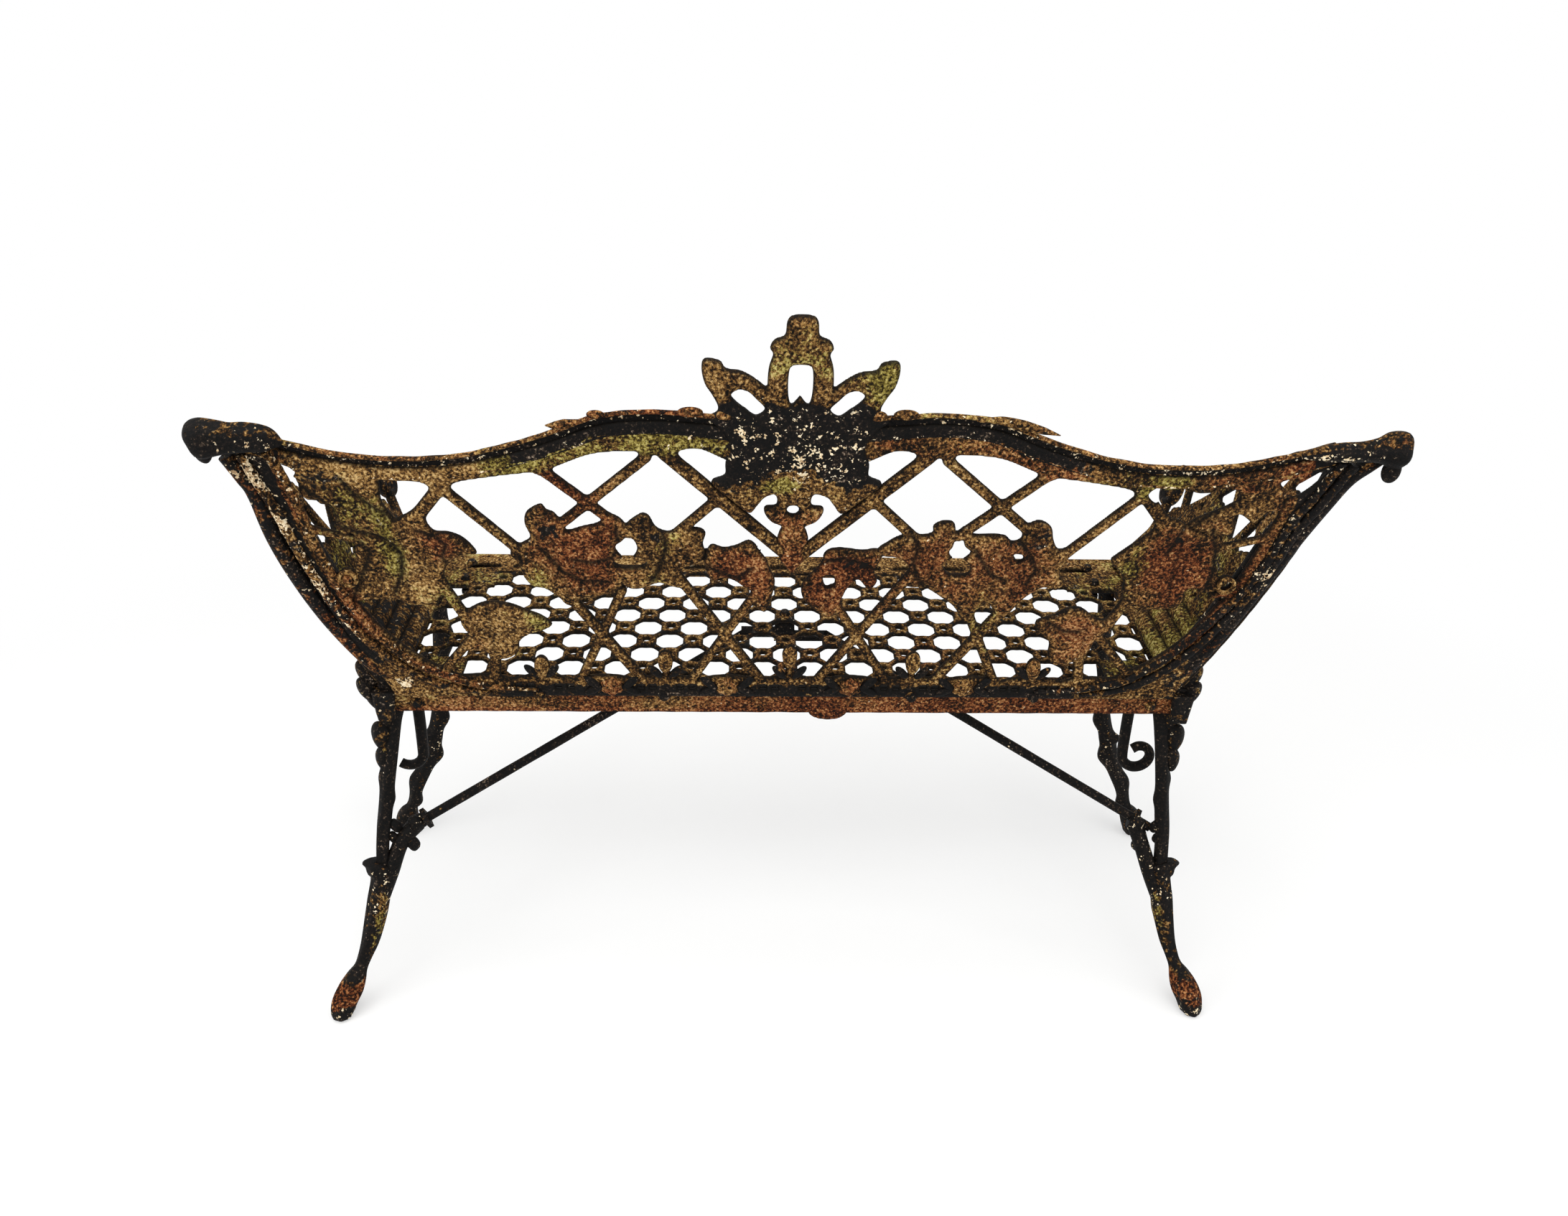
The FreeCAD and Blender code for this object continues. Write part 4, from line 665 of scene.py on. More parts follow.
def inside_outline(x, t, outline):
    """Depth inside a closed line: distance to its nearest edge, negative where a ray to one side
    crosses the line an even number of times."""
    low, high = outline.min(0) + far_out, outline.max(0) - far_out
    near = (x > low[0]) & (x < high[0]) & (t > low[1]) & (t < high[1])
    nx, nt = x[near], t[near]
    gap = np.full(nx.shape, 1e3)
    within = np.zeros(nx.shape, bool)
    for a, b in zip(outline, np.roll(outline, -1, 0)):
        gap = np.minimum(gap, segment_gap(nx, nt, a, b))
        rise = b[1] - a[1] if abs(b[1] - a[1]) > 1e-9 else 1e-9
        within ^= ((a[1] > nt) != (b[1] > nt)) & (nx < a[0] + (b[0] - a[0]) * (nt - a[1]) / rise)
    depth = np.full(x.shape, far_out)
    depth[near] = np.where(within, gap, -gap)
    return depth


def line_at(points, x):
    """Height of a smooth line of given points at x, on either side of the middle."""
    line = through(points, 240)
    return np.interp(np.abs(x), line[:, 0], line[:, 1])


leaf_curves = [closed_curve(leaf) for leaf in left_leaves] + [closed_curve(leaf, -1) for leaf in right_leaves]
hole_curves = [closed_curve(hole) for hole in left_holes] + [closed_curve(hole, -1) for hole in right_holes]


def leaf_depth(x, t):
    """Depth inside the nearest leaf's outline."""
    depth = np.full(np.shape(x), far_out)
    for curve in leaf_curves:
        depth = np.maximum(depth, inside_outline(x, t, curve))
    return depth


def panel_metal(x, t):
    """Depth inside the back's metal: bars, posts, leaves, foot rail, side bars, corners and the
    plate under the top rail, melted together, less the eyelets and the gaps between leaves."""
    across = np.abs(x)
    bars = np.full(np.shape(x), -30.0)
    for a, b, width in lattice_bars:
        bars = melt(bars, width / 2 - segment_gap(across, t, a, b), bar_fillet)
    for at, top in posts:
        bud = np.maximum(stem_half - segment_gap(across, t, (at, post_foot), (at, top - bud_drop)),
                         bud_half - np.hypot(across - at, (t - top + bud_drop) * bud_squeeze))
        bars = melt(bars, bud, small_fillet)
    plate = np.minimum(t - line_at(rail_foot_line, x), line_at(rail_top_line, x) - rail_cover - t)
    plate = np.minimum(plate, rail_plate_end - across)
    crown = foot_rail_top - foot_rail_dip * (1 - np.abs(np.cos(np.pi * x / post_gap)) ** 0.6)
    foot = np.minimum(np.minimum(crown - t, t + foot_rail_foot), bow(0, stile_out) - across)
    height = np.clip(t, -foot_rail_foot, arm_height)
    stile = np.minimum(bow(height, stile_out) - across, across - bow(height, stile_in))
    stile = np.minimum(stile, np.minimum(t + foot_rail_foot, stile_top - t))
    corner = np.hypot(across - corner_centre[0], t - corner_centre[1]) - corner_radius
    corner = np.minimum(np.minimum(corner, t + foot_rail_foot), bow(height, stile_out) - across)
    corner = np.minimum(corner, np.minimum(corner_top - t, across - corner_start))
    metal = melt(melt(bars, leaf_depth(x, t), small_fillet), plate, rail_fillet)
    metal = melt(melt(metal, foot, small_fillet), np.maximum(stile, corner), side_fillet)
    boss_gap = np.hypot(across - ring_boss[0], t - ring_boss[1])
    metal = melt(metal, ring_boss_radius - boss_gap, small_fillet)
    for at, top in posts:
        for away in eyelets:
            side_gap = np.abs(np.abs(across - at) - away) - eyelet_wide
            metal = np.minimum(metal, np.maximum(side_gap, np.abs(t - eyelet_middle) - eyelet_high))
    for curve in hole_curves:
        metal = np.minimum(metal, -inside_outline(x, t, curve))
    return np.minimum(metal, np.where(x < 0, boss_gap - ring_boss_hole, 20.0))


leaf_veins = [((430, 140), (425, 248)), ((428, 170), (362, 205)), ((430, 175), (488, 150)),
              ((428, 200), (470, 238)), ((345, 60), (345, 128)), ((345, 85), (285, 105)),
              ((345, 85), (374, 112)), ((250, 140), (272, 255)), ((252, 165), (302, 200)),
              ((252, 170), (200, 245)), ((250, 150), (204, 165)), ((150, 165), (165, 245)),
              ((150, 180), (106, 225)), ((150, 180), (184, 190)), ((60, 165), (70, 208)),
              ((60, 170), (92, 190)), ((45, 160), (34, 125)), ((440, 236), (470, 288)),
              ((452, 250), (520, 300))]
leaf_folds = [
    [(475, 294), (466, 276), (453, 265), (440, 255), (428, 244)],
    [(528, 295), (516, 284), (503, 272), (491, 259), (488, 237), (473, 230), (455, 225), (441, 217)],
    [(469, 215), (462, 203), (469, 184), (484, 156), (497, 127)],
    [(436, 211), (429, 196), (433, 172), (444, 148)],
    [(408, 231), (387, 223), (379, 212), (385, 196), (380, 185)],
    [(193, 234), (191, 210), (201, 196), (223, 189), (243, 193)],
    [(278, 209), (266, 193), (255, 176), (235, 164), (208, 164)],
    [(144, 231), (140, 211), (146, 190), (157, 165)],
    [(98, 187), (78, 178), (64, 170), (47, 183)],
    [(-127, 234), (-137, 214), (-133, 193), (-138, 175), (-151, 161)],
    [(-245, 232), (-252, 218), (-263, 205), (-272, 184), (-264, 166)],
    [(-200, 211), (-214, 190), (-224, 176), (-240, 169)],
    [(-37, 195), (-56, 199), (-77, 192), (-92, 182)],
    [(-299, 111), (-320, 96), (-338, 96)],
    [(-426, 246), (-421, 225), (-416, 211)],
    [(-458, 242), (-469, 213), (-473, 184), (-470, 154)],
    [(-434, 244), (-447, 258), (-464, 271), (-474, 281)],
]
vein_width, fold_width = 2.6, 3.8


def near_lines(x, t, lines, width):
    """Nearness to the closest of some lines: a bell of a given width across each straight run."""
    near = np.zeros(np.shape(x))
    for line in lines:
        for a, b in zip(line, line[1:]):
            near = np.maximum(near, np.exp(-(segment_gap(x, t, a, b) / width) ** 2))
    return near


def vein_ridge(x, t):
    """Ridges along the leaves' veins, the same on both sides of the back; they also carry a painted shade
    along each vein.
    """
    return near_lines(np.abs(x), t, leaf_veins, vein_width)


def fold_line(x, t):
    """Creases where one lobe of a leaf lies over another: a groove in the rear face, and a painted shade
    along it.
    """
    return near_lines(x, t, leaf_folds, fold_width)


def panel_front(x, t, depth):
    """The front face: rounded edges, leaves that swell inside their edges, and raised veins."""
    leaf = leaf_depth(x, t)
    swell = 2.4 * fade(leaf, 0, 11) - 1.6 * fade(leaf, 12, 30) + 1.6 * vein_ridge(x, t) * fade(leaf, 1, 6)
    return -edge_round(depth, panel_round) + swell + 0.4 * lumps(x, t, 16) * fade(depth, 0, 4)


def panel_rear(x, t, depth):
    """The rear face: flatter leaves with a shallow rim, a groove behind each vein and deep folds."""
    leaf = leaf_depth(x, t)
    swell = 2.0 * fade(leaf, 0, 8) - 1.8 * fade(leaf, 9, 26) - 0.9 * vein_ridge(x, t) * fade(leaf, 4, 10)
    swell = swell - 2.4 * fold_line(x, t) * fade(depth, 0, 4)
    uneven = (0.5 * lumps(x, t, 20) + 0.35 * lumps(x, t, 7)) * fade(depth, 0, 4)
    return -back_plate + edge_round(depth, panel_round) - swell - uneven


def patches(x, t, spots):
    """The sum of soft round patches, each of a strength, a place and a reach."""
    return sum(strength * blob(x, t, at, reach) for strength, at, reach in spots)


panel_patches = {
    "lichen": [(0.45, (440, 205), (15, 55)), (0.3, (385, 130), (25, 50)), (0.3, (285, 160), (30, 60)),
               (0.25, (150, 200), (30, 40)), (0.3, (480, 260), (40, 40)), (0.3, (-380, 190), (14, 60)),
               (0.3, (-230, 110), (60, 60)), (0.3, (-470, 200), (14, 50))],
    "rust": [(0.45, (225, 200), (50, 60)), (0.5, (62, 180), (45, 45)), (0.45, (385, 215), (22, 25)),
             (0.3, (-200, 180), (110, 60)), (0.35, (-330, 90), (60, 60)), (0.5, (-50, 160), (50, 50)),
             (0.5, (255, 285), (35, 30)), (0.6, (-425, 190), (55, 55))],
    "pale": [(0.7, (425, 175), (55, 60)), (0.9, (330, 90), (55, 50)), (0.4, (-210, 190), (80, 60)),
             (0.6, (-335, 85), (50, 50)), (-0.3, (-425, 190), (60, 60))],
    "black": [(0.9, (0, 330), (85, 45)), (0.6, (268, 232), (20, 24)), (0.55, (158, 228), (22, 20)),
              (0.5, (-270, 230), (22, 24)), (0.28, (-170, 238), (26, 16)), (0.25, (470, 290), (40, 20)),
              (0.3, (240, 187), (24, 10)), (0.35, (-233, 213), (18, 18)), (0.5, (-70, 192), (28, 14)),
              (0.45, (-356, 113), (20, 16)), (0.5, (-424, 227), (14, 16))],
    "cream": [(0.35, (0, 320), (70, 40)), (1.3, (456, 12), (9, 8))],
}
for side, label in ((1, "left"), (-1, "right")):
    columns = np.sort(side * np.linspace(0, panel_end, panel_columns))
    rows = np.arange(panel_low, panel_high, panel_step)
    panel = pierced_plate(columns, rows, panel_metal, panel_front, panel_rear, on_panel)
    px, pt = panel["x"], panel["t"]
    under_rail = fade(pt - line_at(rail_foot_line, px), -14, 2)
    stile_gap = bow(np.clip(pt, 0, arm_height)) - np.abs(px)
    in_leaf = fade(leaf_depth(px, pt), 4, 10)
    thin_black = 0.85 * fade(np.abs(px), 260, 360)
    for key, spots in panel_patches.items():
        panel[key] = patches(px, pt, spots)
    panel["lichen"] += 0.12 + under_rail * (0.55 * fade(px, 40, 100) * fade(-px, -350, -310)
                                            + 0.4 * blob(px, pt, (-375, 300), (50, 40)))
    panel["rust"] += (0.1 + 0.12 * in_leaf
                      + under_rail * (0.42 * fade(-px, 40, 100) - 0.3 * blob(px, pt, (-375, 300), (45, 60)))
                      + 0.45 * fade(stile_gap, 44, 52) * fade(-stile_gap, -84, -62) * fade(pt, 40, 110))
    panel["pale"] += (0.8 * under_rail * fade(px, 320, 370) * fade(-px, -500, -450)
                      + 0.35 * under_rail * fade(px, 60, 120)
                      + 0.25 * fade(-pt, -30, 10) * fade(np.abs(px), 340, 390))
    panel["black"] += (0.75 * fade(pt - line_at(rail_top_line, px), -30, -22) * (1 - thin_black)
                       + 0.3 * fade(px, 455, 505) * fade(pt, 225, 262)
                       + 0.36 * fade(-px, 370, 470) * fade(-pt, -130, -60) + 0.15 * fade(-px, 440, 520)
                       + 0.26 * fade(px, 385, 450) * fade(-pt, -110, -50) * fade(pt, 4, 22)
                       + 0.7 * fade(-pt, -22, -4) * fade(-np.abs(px), -400, -330)
                       + 0.8 * fade(-stile_gap, -52, -44) * fade(pt, 30, 80))
    panel["cream"] += 0.3 * fade(-stile_gap, -50, -40) * fade(pt, 60, 120) * fade(px, 0, 1)
    # Painted shade: dark lines along the leaves' veins and folds.
    panel["rim"] = np.maximum(panel["rim"], 0.45 * in_leaf * vein_ridge(px, pt))
    panel["rim"] = np.maximum(panel["rim"], fold_line(px, pt))
    cast_piece("back_lattice_" + label, [panel], casting_finish, "back")

# Foot rail: egg-shaped buds on short posts, round flowers half way between them, and small
# petals beside both, all cast on the rear face of the back's foot.
panel_rear_way = on_panel(0.0, 0.0, -1.0) - on_panel(0.0, 0.0, 0.0)
panel_up = on_panel(0.0, 1.0, 0.0) - on_panel(0.0, 0.0, 0.0)
x_way = np.array([1.0, 0.0, 0.0])
rear_relief = -9.0
bud_below, bud_reach = 15.0, (16.0, 5.5, 8.5)
petal_thick, petal_half = 4.0, 5.0
post_petal_away, post_petal_t, post_petal_long, post_petal_turn = 12.0, 33.0, 12.0, 0.7
flower_places, flower_t, flower_reach = (-212, -74, 74, 212), 9.0, (5.5, 13.0, 13.0)
flower_petal_away, flower_petal_up, flower_petal_long, flower_petal_turns = 22.0, 9.0, 13.0, (0.75, -0.55)


def bud_shell(centre, reach, along, out, ripple=0.0, lobes=5):
    """A closed egg about a centre: its radius follows two angles, with lobes round its long axis."""
    pole, rings, around = 0.05, 15, 22
    u = np.linspace(pole, np.pi - pole, rings)
    v = np.linspace(0, 2 * np.pi, around, endpoint=False)
    path = np.asarray(centre, float) - np.outer(np.cos(u) * reach[0], along)
    radius = np.sin(u)[:, None] * (1 + ripple * np.cos(lobes * v)[None])
    return sweep(path, out, np.stack([radius * np.cos(v) * reach[1], radius * np.sin(v) * reach[2]], -1))


def petal(x, t, long, turn):
    """A flat egg on the back's rear face, its length turned by an angle from the level."""
    way = math.cos(turn) * x_way + math.sin(turn) * panel_up
    return bud_shell(on_panel(x, t, rear_relief), (long, petal_thick, petal_half), way, panel_rear_way)


foot_shells = []
for at, top in posts:
    for x in sorted({at, -at}):
        bud_spot = on_panel(x, top - bud_below, rear_relief)
        bud = bud_shell(bud_spot, bud_reach, panel_up, panel_rear_way, ripple=0.06, lobes=3)
        foot_shells.append(dict(bud, pale=0.6, rust=0.25, lichen=0.2))
        for away in (-1, 1):
            leaf = petal(x + away * post_petal_away, post_petal_t, post_petal_long,
                         math.pi / 2 - away * post_petal_turn)
            foot_shells.append(dict(leaf, black=0.62, rust=0.3))
for x in flower_places:
    flower_spot = on_panel(x, flower_t, rear_relief)
    flower = bud_shell(flower_spot, flower_reach, panel_rear_way, panel_up, ripple=0.13, lobes=6)
    foot_shells.append(dict(flower, pale=0.3, rust=0.4, black=0.2))
    for away in (-1, 1):
        for turn in flower_petal_turns:
            leaf = petal(x + away * flower_petal_away, flower_t + flower_petal_up * math.sin(turn),
                         flower_petal_long, away * turn)
            foot_shells.append(dict(leaf, black=0.75))
cast_piece("foot_rail_buds", foot_shells, casting_finish, "back")

# Side bars: two ribs down each side of the back, which turn inwards along its foot, and a ring
# round the boss by the big leaf, where the left one still has its bolt.
rib_foot = [(376, 13), (340, 6), (300, 3)]
left_inner_rib = [(543, 326), (537, 312), (530, 289), (525, 262), (520, 222), (513, 190), (505, 157),
                  (495, 125), (478, 92), (456, 61), (438, 43), (407, 26)] + rib_foot
right_inner_rib = [(573, 328), (565, 308), (556, 284), (541, 250), (531, 203), (518, 166), (503, 139),
                   (484, 108), (462, 76), (442, 51), (407, 22)] + rib_foot
left_flaked_rib = [(568, 322), (560, 292), (551, 262), (542, 222), (532, 182), (522, 150), (511, 122),
                   (496, 92), (476, 62), (452, 36), (424, 16), (390, 4), (355, -2)]
right_flaked_rib = [(587, 326), (576, 300), (564, 272), (550, 240), (539, 200), (527, 164), (512, 132),
                    (496, 102), (476, 70), (454, 42), (424, 18), (390, 4), (355, -2)]
rib_steps, rib_around = 170, 16
collar_steps, collar_radius, collar_level = 40, 9.0, -10.0
rib_share = np.linspace(0, 1, rib_steps)
side_shells = []
rib_pairs = ((1, left_inner_rib, left_flaked_rib), (-1, right_inner_rib, right_flaked_rib))
for side, inner_rib, flaked_rib in rib_pairs:
    for line, width, height in ((inner_rib, 10, 9), (flaked_rib, 11, 10)):
        run = through(line, rib_steps) * (side, 1)
        uneven = 1 + 0.14 * lumps(run[:, 0] * 3, run[:, 1] * 3, 30)
        girth = uneven * (1 - 0.6 * fade(rib_share, 0.85, 1.0)) / 2
        rib = sweep(on_panel(run[:, 0], run[:, 1], rear_relief), panel_rear_way,
                    round_profile(height * girth, width * girth, rib_around))
        lower = fade(rib["along"], 0.5, 0.68)
        broken = lumps(np.repeat(run[:, 0], rib_around), np.repeat(run[:, 1], rib_around), 26)
        if line is inner_rib:
            wear_and_shading = {"rust": 0.38, "black": 0.32 if side > 0 else 0.58, "cream": 0.2 + 0.2 * broken}
        else:
            wear_and_shading = {"rust": 0.3, "black": 0.42 if side > 0 else 0.6,
                    "cream": ((0.46 if side > 0 else 0.16) + 0.7 * broken) * (1 - lower)}
        side_shells.append(dict(rib, **wear_and_shading))
    turn = np.linspace(0, 2 * np.pi, collar_steps, endpoint=False)
    ring = on_panel(side * ring_boss[0] + collar_radius * np.cos(turn),
                    ring_boss[1] + collar_radius * np.sin(turn), collar_level)
    collar = sweep(ring, panel_rear_way, round_profile(3.0, 2.4, 12), True)
    side_shells.append(dict(collar, pale=0.8, rust=0.2))
bolt_spot = on_panel(ring_boss[0], ring_boss[1], collar_level)
bolt_end = bud_shell(bolt_spot, (4.5, 6.0, 6.0), panel_rear_way, panel_up)
side_shells.append(dict(bolt_end, rust=0.5))
cast_piece("side_bars", side_shells, casting_finish, "back")

# Top rail: the back's upper edge, cast as a bead over a deep groove, with small leaf tips
# along the bead and a thick roll that ends in a ball at each side.
rail_steps = 170
rail_start, rail_end = 60.0, 560.0
rail_profile = np.array([(-1.0, -2), (-3, 0.5), (-6, 2.5), (-12, 3), (-20, 2.5), (-26, 2), (-27, 0),
                         (-27, -7), (-25, -8.5), (-22, -7), (-14, -4.5), (-8, -4.5), (-5, -5.5), (-3.5, -8),
                         (-2.2, -9.8), (-0.8, -9.8), (0.4, -8.2), (0.6, -5)])
groove_first, groove_fold, groove_last = 7, 10, 12
rail_place = np.tile(np.arange(len(rail_profile)), rail_steps)
in_groove = (rail_place >= groove_first) & (rail_place <= groove_last)
on_bead = rail_place > groove_last
rail_shells = []
for side in (1, -1):
    rail_x = np.sort(side * np.linspace(rail_start, rail_end, rail_steps))
    rail_t = line_at(rail_top_line, rail_x)
    rail_ripple = 0.8 * lumps(rail_x, rail_t, 17)[:, None]
    rail_rings = np.repeat(rail_profile[None], rail_steps, 0)
    rail_rings[:, :, 0] += (rail_profile[:, 0] > -4) * rail_ripple
    rail = sweep(on_panel(rail_x, rail_t, 0.0), panel_up, rail_rings)
    rail_along = np.repeat(rail_x, len(rail_profile))
    thin_black = fade(np.abs(rail_along), 260, 360) * (rail_place <= groove_fold)
    rail["black"] = np.where(in_groove, 0.95 - 0.75 * thin_black, 0.25)
    rail["lichen"] = np.where(on_bead, 0.2, 0.1)
    rail["rust"] = np.where(on_bead, 0.4, 0.2)
    rail["pale"] = np.where(on_bead, 0.2, 0.3 * thin_black)
    rail["cream"] = np.where(in_groove, 0.28, 0.1)
    rail_shells.append(rail)
leaf_tips = [(110, 378, 13, 5), (205, 374, 9, 4), (-108, 378, 13, 5), (75, 375, 9, 5), (-80, 376, 9, 5)]
for x, t, long, high in leaf_tips:
    tip = bud_shell(on_panel(x, t, rear_relief), (long, high, 5), x_way, panel_up, ripple=0.15, lobes=3)
    rail_shells.append(dict(tip, rust=0.35, black=0.25))
long_tips = [([(-180, 374), (-205, 374), (-228, 369), (-250, 363), (-268, 358)], [1.5, 4.5, 5.5, 4, 0.6]),
             ([(215, 368), (236, 364), (246, 362), (256, 362)], [1.5, 5, 4.5, 0.6])]
tip_steps, tip_level = 40, -11.0
for line, girth in long_tips:
    size = np.interp(np.linspace(0, 1, tip_steps), np.linspace(0, 1, len(girth)), girth)
    size = np.maximum(size, 0.5)
    run = through(line, tip_steps)
    tip = sweep(on_panel(run[:, 0], run[:, 1], tip_level), panel_up,
                round_profile(size, 0.9 * size, 14))
    rail_shells.append(dict(tip, rust=0.35, lichen=0.1, black=0.36))
roll_steps, roll_around, roll_level = 46, 26, -16.0
drop_level, drop_reach = -18.0, (15.0, 9.0, 9.0)
left_roll = [(520, 341), (533, 345), (552, 347), (569, 346), (585, 346), (597, 345), (607, 343), (613, 341)]
right_roll = [(524, 340), (543, 343), (563, 345), (584, 346), (602, 348), (615, 349), (627, 348), (635, 347)]
left_girth = [3, 12.5, 15, 15.5, 18.5, 20.5, 17, 4]
right_girth = [3, 8, 10.5, 11, 13.5, 19.5, 18.5, 4]
for side, roll_line, girths, drop_spot in ((1, left_roll, left_girth, (600, 333)),
                                           (-1, right_roll, right_girth, (622, 326))):
    spine = through(roll_line, roll_steps) * (side, 1)
    girth = through(list(enumerate(girths)), roll_steps)[:, 1:]
    turn = np.linspace(0, 2 * np.pi, roll_around, endpoint=False)
    ring = girth * (1 + 0.05 * np.cos(3 * turn + 0.5) + 0.04 * np.sin(5 * turn))
    roll = sweep(on_panel(spine[:, 0], spine[:, 1], roll_level), panel_up,
                 np.stack([ring * np.cos(turn), 0.92 * ring * np.sin(turn)], -1))
    # Painted shade: the roll is darker underneath, where its cream flakes also lie.
    shaded_underside = fade(-np.cos(roll["angle"]), -0.75, -0.2)
    roll["black"] = 0.45 + 0.5 * shaded_underside + (0.15 if side > 0 else 0.0) * fade(roll["along"], 0.45, 0.8)
    roll["cream"] = (0.25 if side > 0 else 0.45) * shaded_underside * fade(-roll["along"], -0.6, -0.4)
    roll["rust"], roll["pale"] = 0.18, -0.2
    rail_shells.append(roll)
    drop = bud_shell(on_panel(side * drop_spot[0], drop_spot[1], drop_level), drop_reach, panel_up, x_way,
                     ripple=0.08, lobes=3)
    rail_shells.append(dict(drop, black=0.75, rust=0.3))
cast_piece("top_rail", rail_shells, casting_finish, "back")

# Crest: the ornament cast in the middle of the back. An upright loop stands between two leaf loops
# above the rail, with a fluted boss below them and a flower that hangs in the lattice.
loop_outline = [(-32, 360), (-33, 400), (-32, 425), (-28, 440), (-31, 447), (-27, 455), (-17, 460),
                (-15, 474), (-9, 480), (9, 480), (15, 474), (17, 460), (27, 455), (31, 447), (28, 440),
                (32, 425), (33, 400), (32, 360), (0, 350)]
loop_hole = [(-4, 390), (-9, 386), (-12, 398), (-12, 420), (-8, 429), (8, 429), (12, 420), (12, 398),
             (9, 386), (4, 390), (0, 395)]
side_loop = [(24, 372), (30, 398), (42, 411), (58, 421), (74, 424), (80, 432), (95, 434), (98, 424),
             (95, 408), (88, 396), (82, 382), (84, 366), (60, 352), (36, 356)]
side_loop_hole = [(35, 381), (44, 392), (52, 400), (62, 402), (69, 396), (64, 388), (54, 380), (44, 373)]
right_loop_shift = 4.0
boss_outline = [(-92, 372), (-78, 356), (-70, 338), (-75, 318), (-76, 303), (-90, 294), (-70, 274),
                (-50, 257), (-40, 268), (-30, 279), (0, 284), (30, 279), (40, 268), (50, 257), (70, 274),
                (90, 294), (76, 303), (75, 318), (70, 338), (78, 356), (92, 372), (50, 380), (0, 384),
                (-50, 380)]
flower_half = [(0, 178), (8, 188), (14, 197), (11, 206), (13, 214), (17, 222), (15, 232), (13, 240),
               (24, 246), (31, 256), (31, 264), (20, 266), (18, 274), (20, 286), (0, 292)]
flower_outline = flower_half + [(-x, t) for x, t in flower_half[-2:0:-1]]
flower_shift, flower_hole, flower_hole_radius = 2.0, (3.0, 261.0), 6.5
crest_front, crest_rear, crest_round, crest_step = 1.5, -10.5, 5.0, 1.5
flutes_round, flutes_foot = 9, 268
crest_outlines = [closed_curve(loop_outline), closed_curve(side_loop), closed_curve(side_loop, -1),
                  closed_curve(boss_outline), closed_curve(flower_outline) + (flower_shift, 0)]
crest_holes = [closed_curve(loop_hole), closed_curve(side_loop_hole),
               closed_curve(side_loop_hole, -1) + (right_loop_shift, 0)]


def crest_metal(x, t):
    """Depth inside the crest's outlines, melted together, less the loops' and the flower's holes."""
    metal = np.full(np.shape(x), far_out)
    for outline in crest_outlines:
        metal = melt(metal, inside_outline(x, t, outline), small_fillet)
    for hole in crest_holes:
        metal = np.minimum(metal, -inside_outline(x, t, hole))
    return np.minimum(metal, np.hypot(x - flower_hole[0], t - flower_hole[1]) - flower_hole_radius)


def crest_relief(x, t, depth):
    """Flutes that fan out of the boss, a raised band round the loops, and a swelling flower."""
    flutes = np.cos(flutes_round * np.arctan2(x, t - flutes_foot)) * blob(x, t, (0, 325), (62, 44))
    boss = 4.0 * blob(x, t, (0, 330), (45, 38))
    return 1.8 * flutes + boss + 1.5 * fade(depth, 2, 9) + 0.5 * lumps(x, t, 9) * fade(depth, 0, 3)


crest = pierced_plate(np.arange(-106, 107.5, crest_step), np.arange(174, 484, crest_step), crest_metal,
                      lambda x, t, d: crest_front - edge_round(d, crest_round) + crest_relief(x, t, d),
                      lambda x, t, d: crest_rear + edge_round(d, crest_round) - crest_relief(x, t, d),
                      on_panel)
cx, ct = crest["x"], crest["t"]
uneven = 9 * lumps(cx, ct, 11)
in_boss = fade(ct + uneven, 272, 318) * fade(-ct + uneven, -400, -372)
crest["black"] = 1.0 * in_boss - 0.95 * blob(cx, ct, (4, 302), (32, 19)) + 0.12
crest["cream"] = 0.32 * in_boss * fade(-np.abs(cx), -88, -60) + 0.14 * blob(cx, ct, (-10, 325), (30, 30))
crest["lichen"] = (0.45 * blob(cx, ct, (20, 296), (26, 12)) + 0.2 * fade(ct, 395, 425) + 0.1
                   + 0.55 * blob(cx, ct, (-82, 405), (22, 30)) + 0.6 * blob(cx, ct, (74, 372), (20, 14))
                   + 0.5 * blob(cx, ct, (-25, 335), (8, 16)))
crest["rust"] = (0.55 * fade(-ct, -286, -255) + 0.3 * fade(ct, 440, 475)
                 + 0.3 * blob(cx, ct, (0, 415), (60, 30)))
crest["pale"] = 0.35 * fade(ct, 385, 410) + 1.0 * blob(cx, ct, (4, 303), (28, 18))
cast_piece("crest", [crest], casting_finish, "back")

# Arms: a bowed openwork casting at each end, with a rounded rail that rolls up in front, a stile
# against the back, a pleated leaf in the rear corner and a foot bolted to the seat's skirt.
arm_leaves = [(-72, 110, 58, 60), (-165, 122, 56, 100), (-226, 92, 40, 140), (-34, 214, 44, 90)]
arm_bars = [((-288, 132), (-268, 76), 18), ((-268, 76), (-296, 6), 18), ((-24, 12), (-150, 216), 12),
            ((-150, 8), (-40, 285), 12), ((-270, 80), (-140, 222), 12), ((-150, 8), (-250, 150), 12),
            ((-215, 8), (-215, 90), 12)]
arm_rail_line = [(26, 314), (-30, 297), (-90, 259), (-150, 217), (-210, 178), (-262, 155), (-290, 153)]
scroll_centre, scroll_radius, scroll_turns, scroll_tighten = (-286.0, 130.0), 23.0, 3.2, 5.2
scroll_squeeze, scroll_thick, scroll_thin = 0.9, 8.5, 4.5
edge_lean = 0.0875
arm_wall, arm_round, arm_front, arm_low, arm_sill, arm_gap = 8.0, 3.0, 308.0, 1.0, 16.0, 0.3
arm_stile_wide, arm_stile_top, arm_step, fan_step = 24.0, 316.0, 2.2, 1.9
hand_half, hand_rear, hand_front, hand_fillet = 9.0, 26.0, 290.0, 8.0
hand_wide, hand_high = 13.0, 8.5
fan_front, fan_rear, fan_round = 1.0, -2.0, 2.0
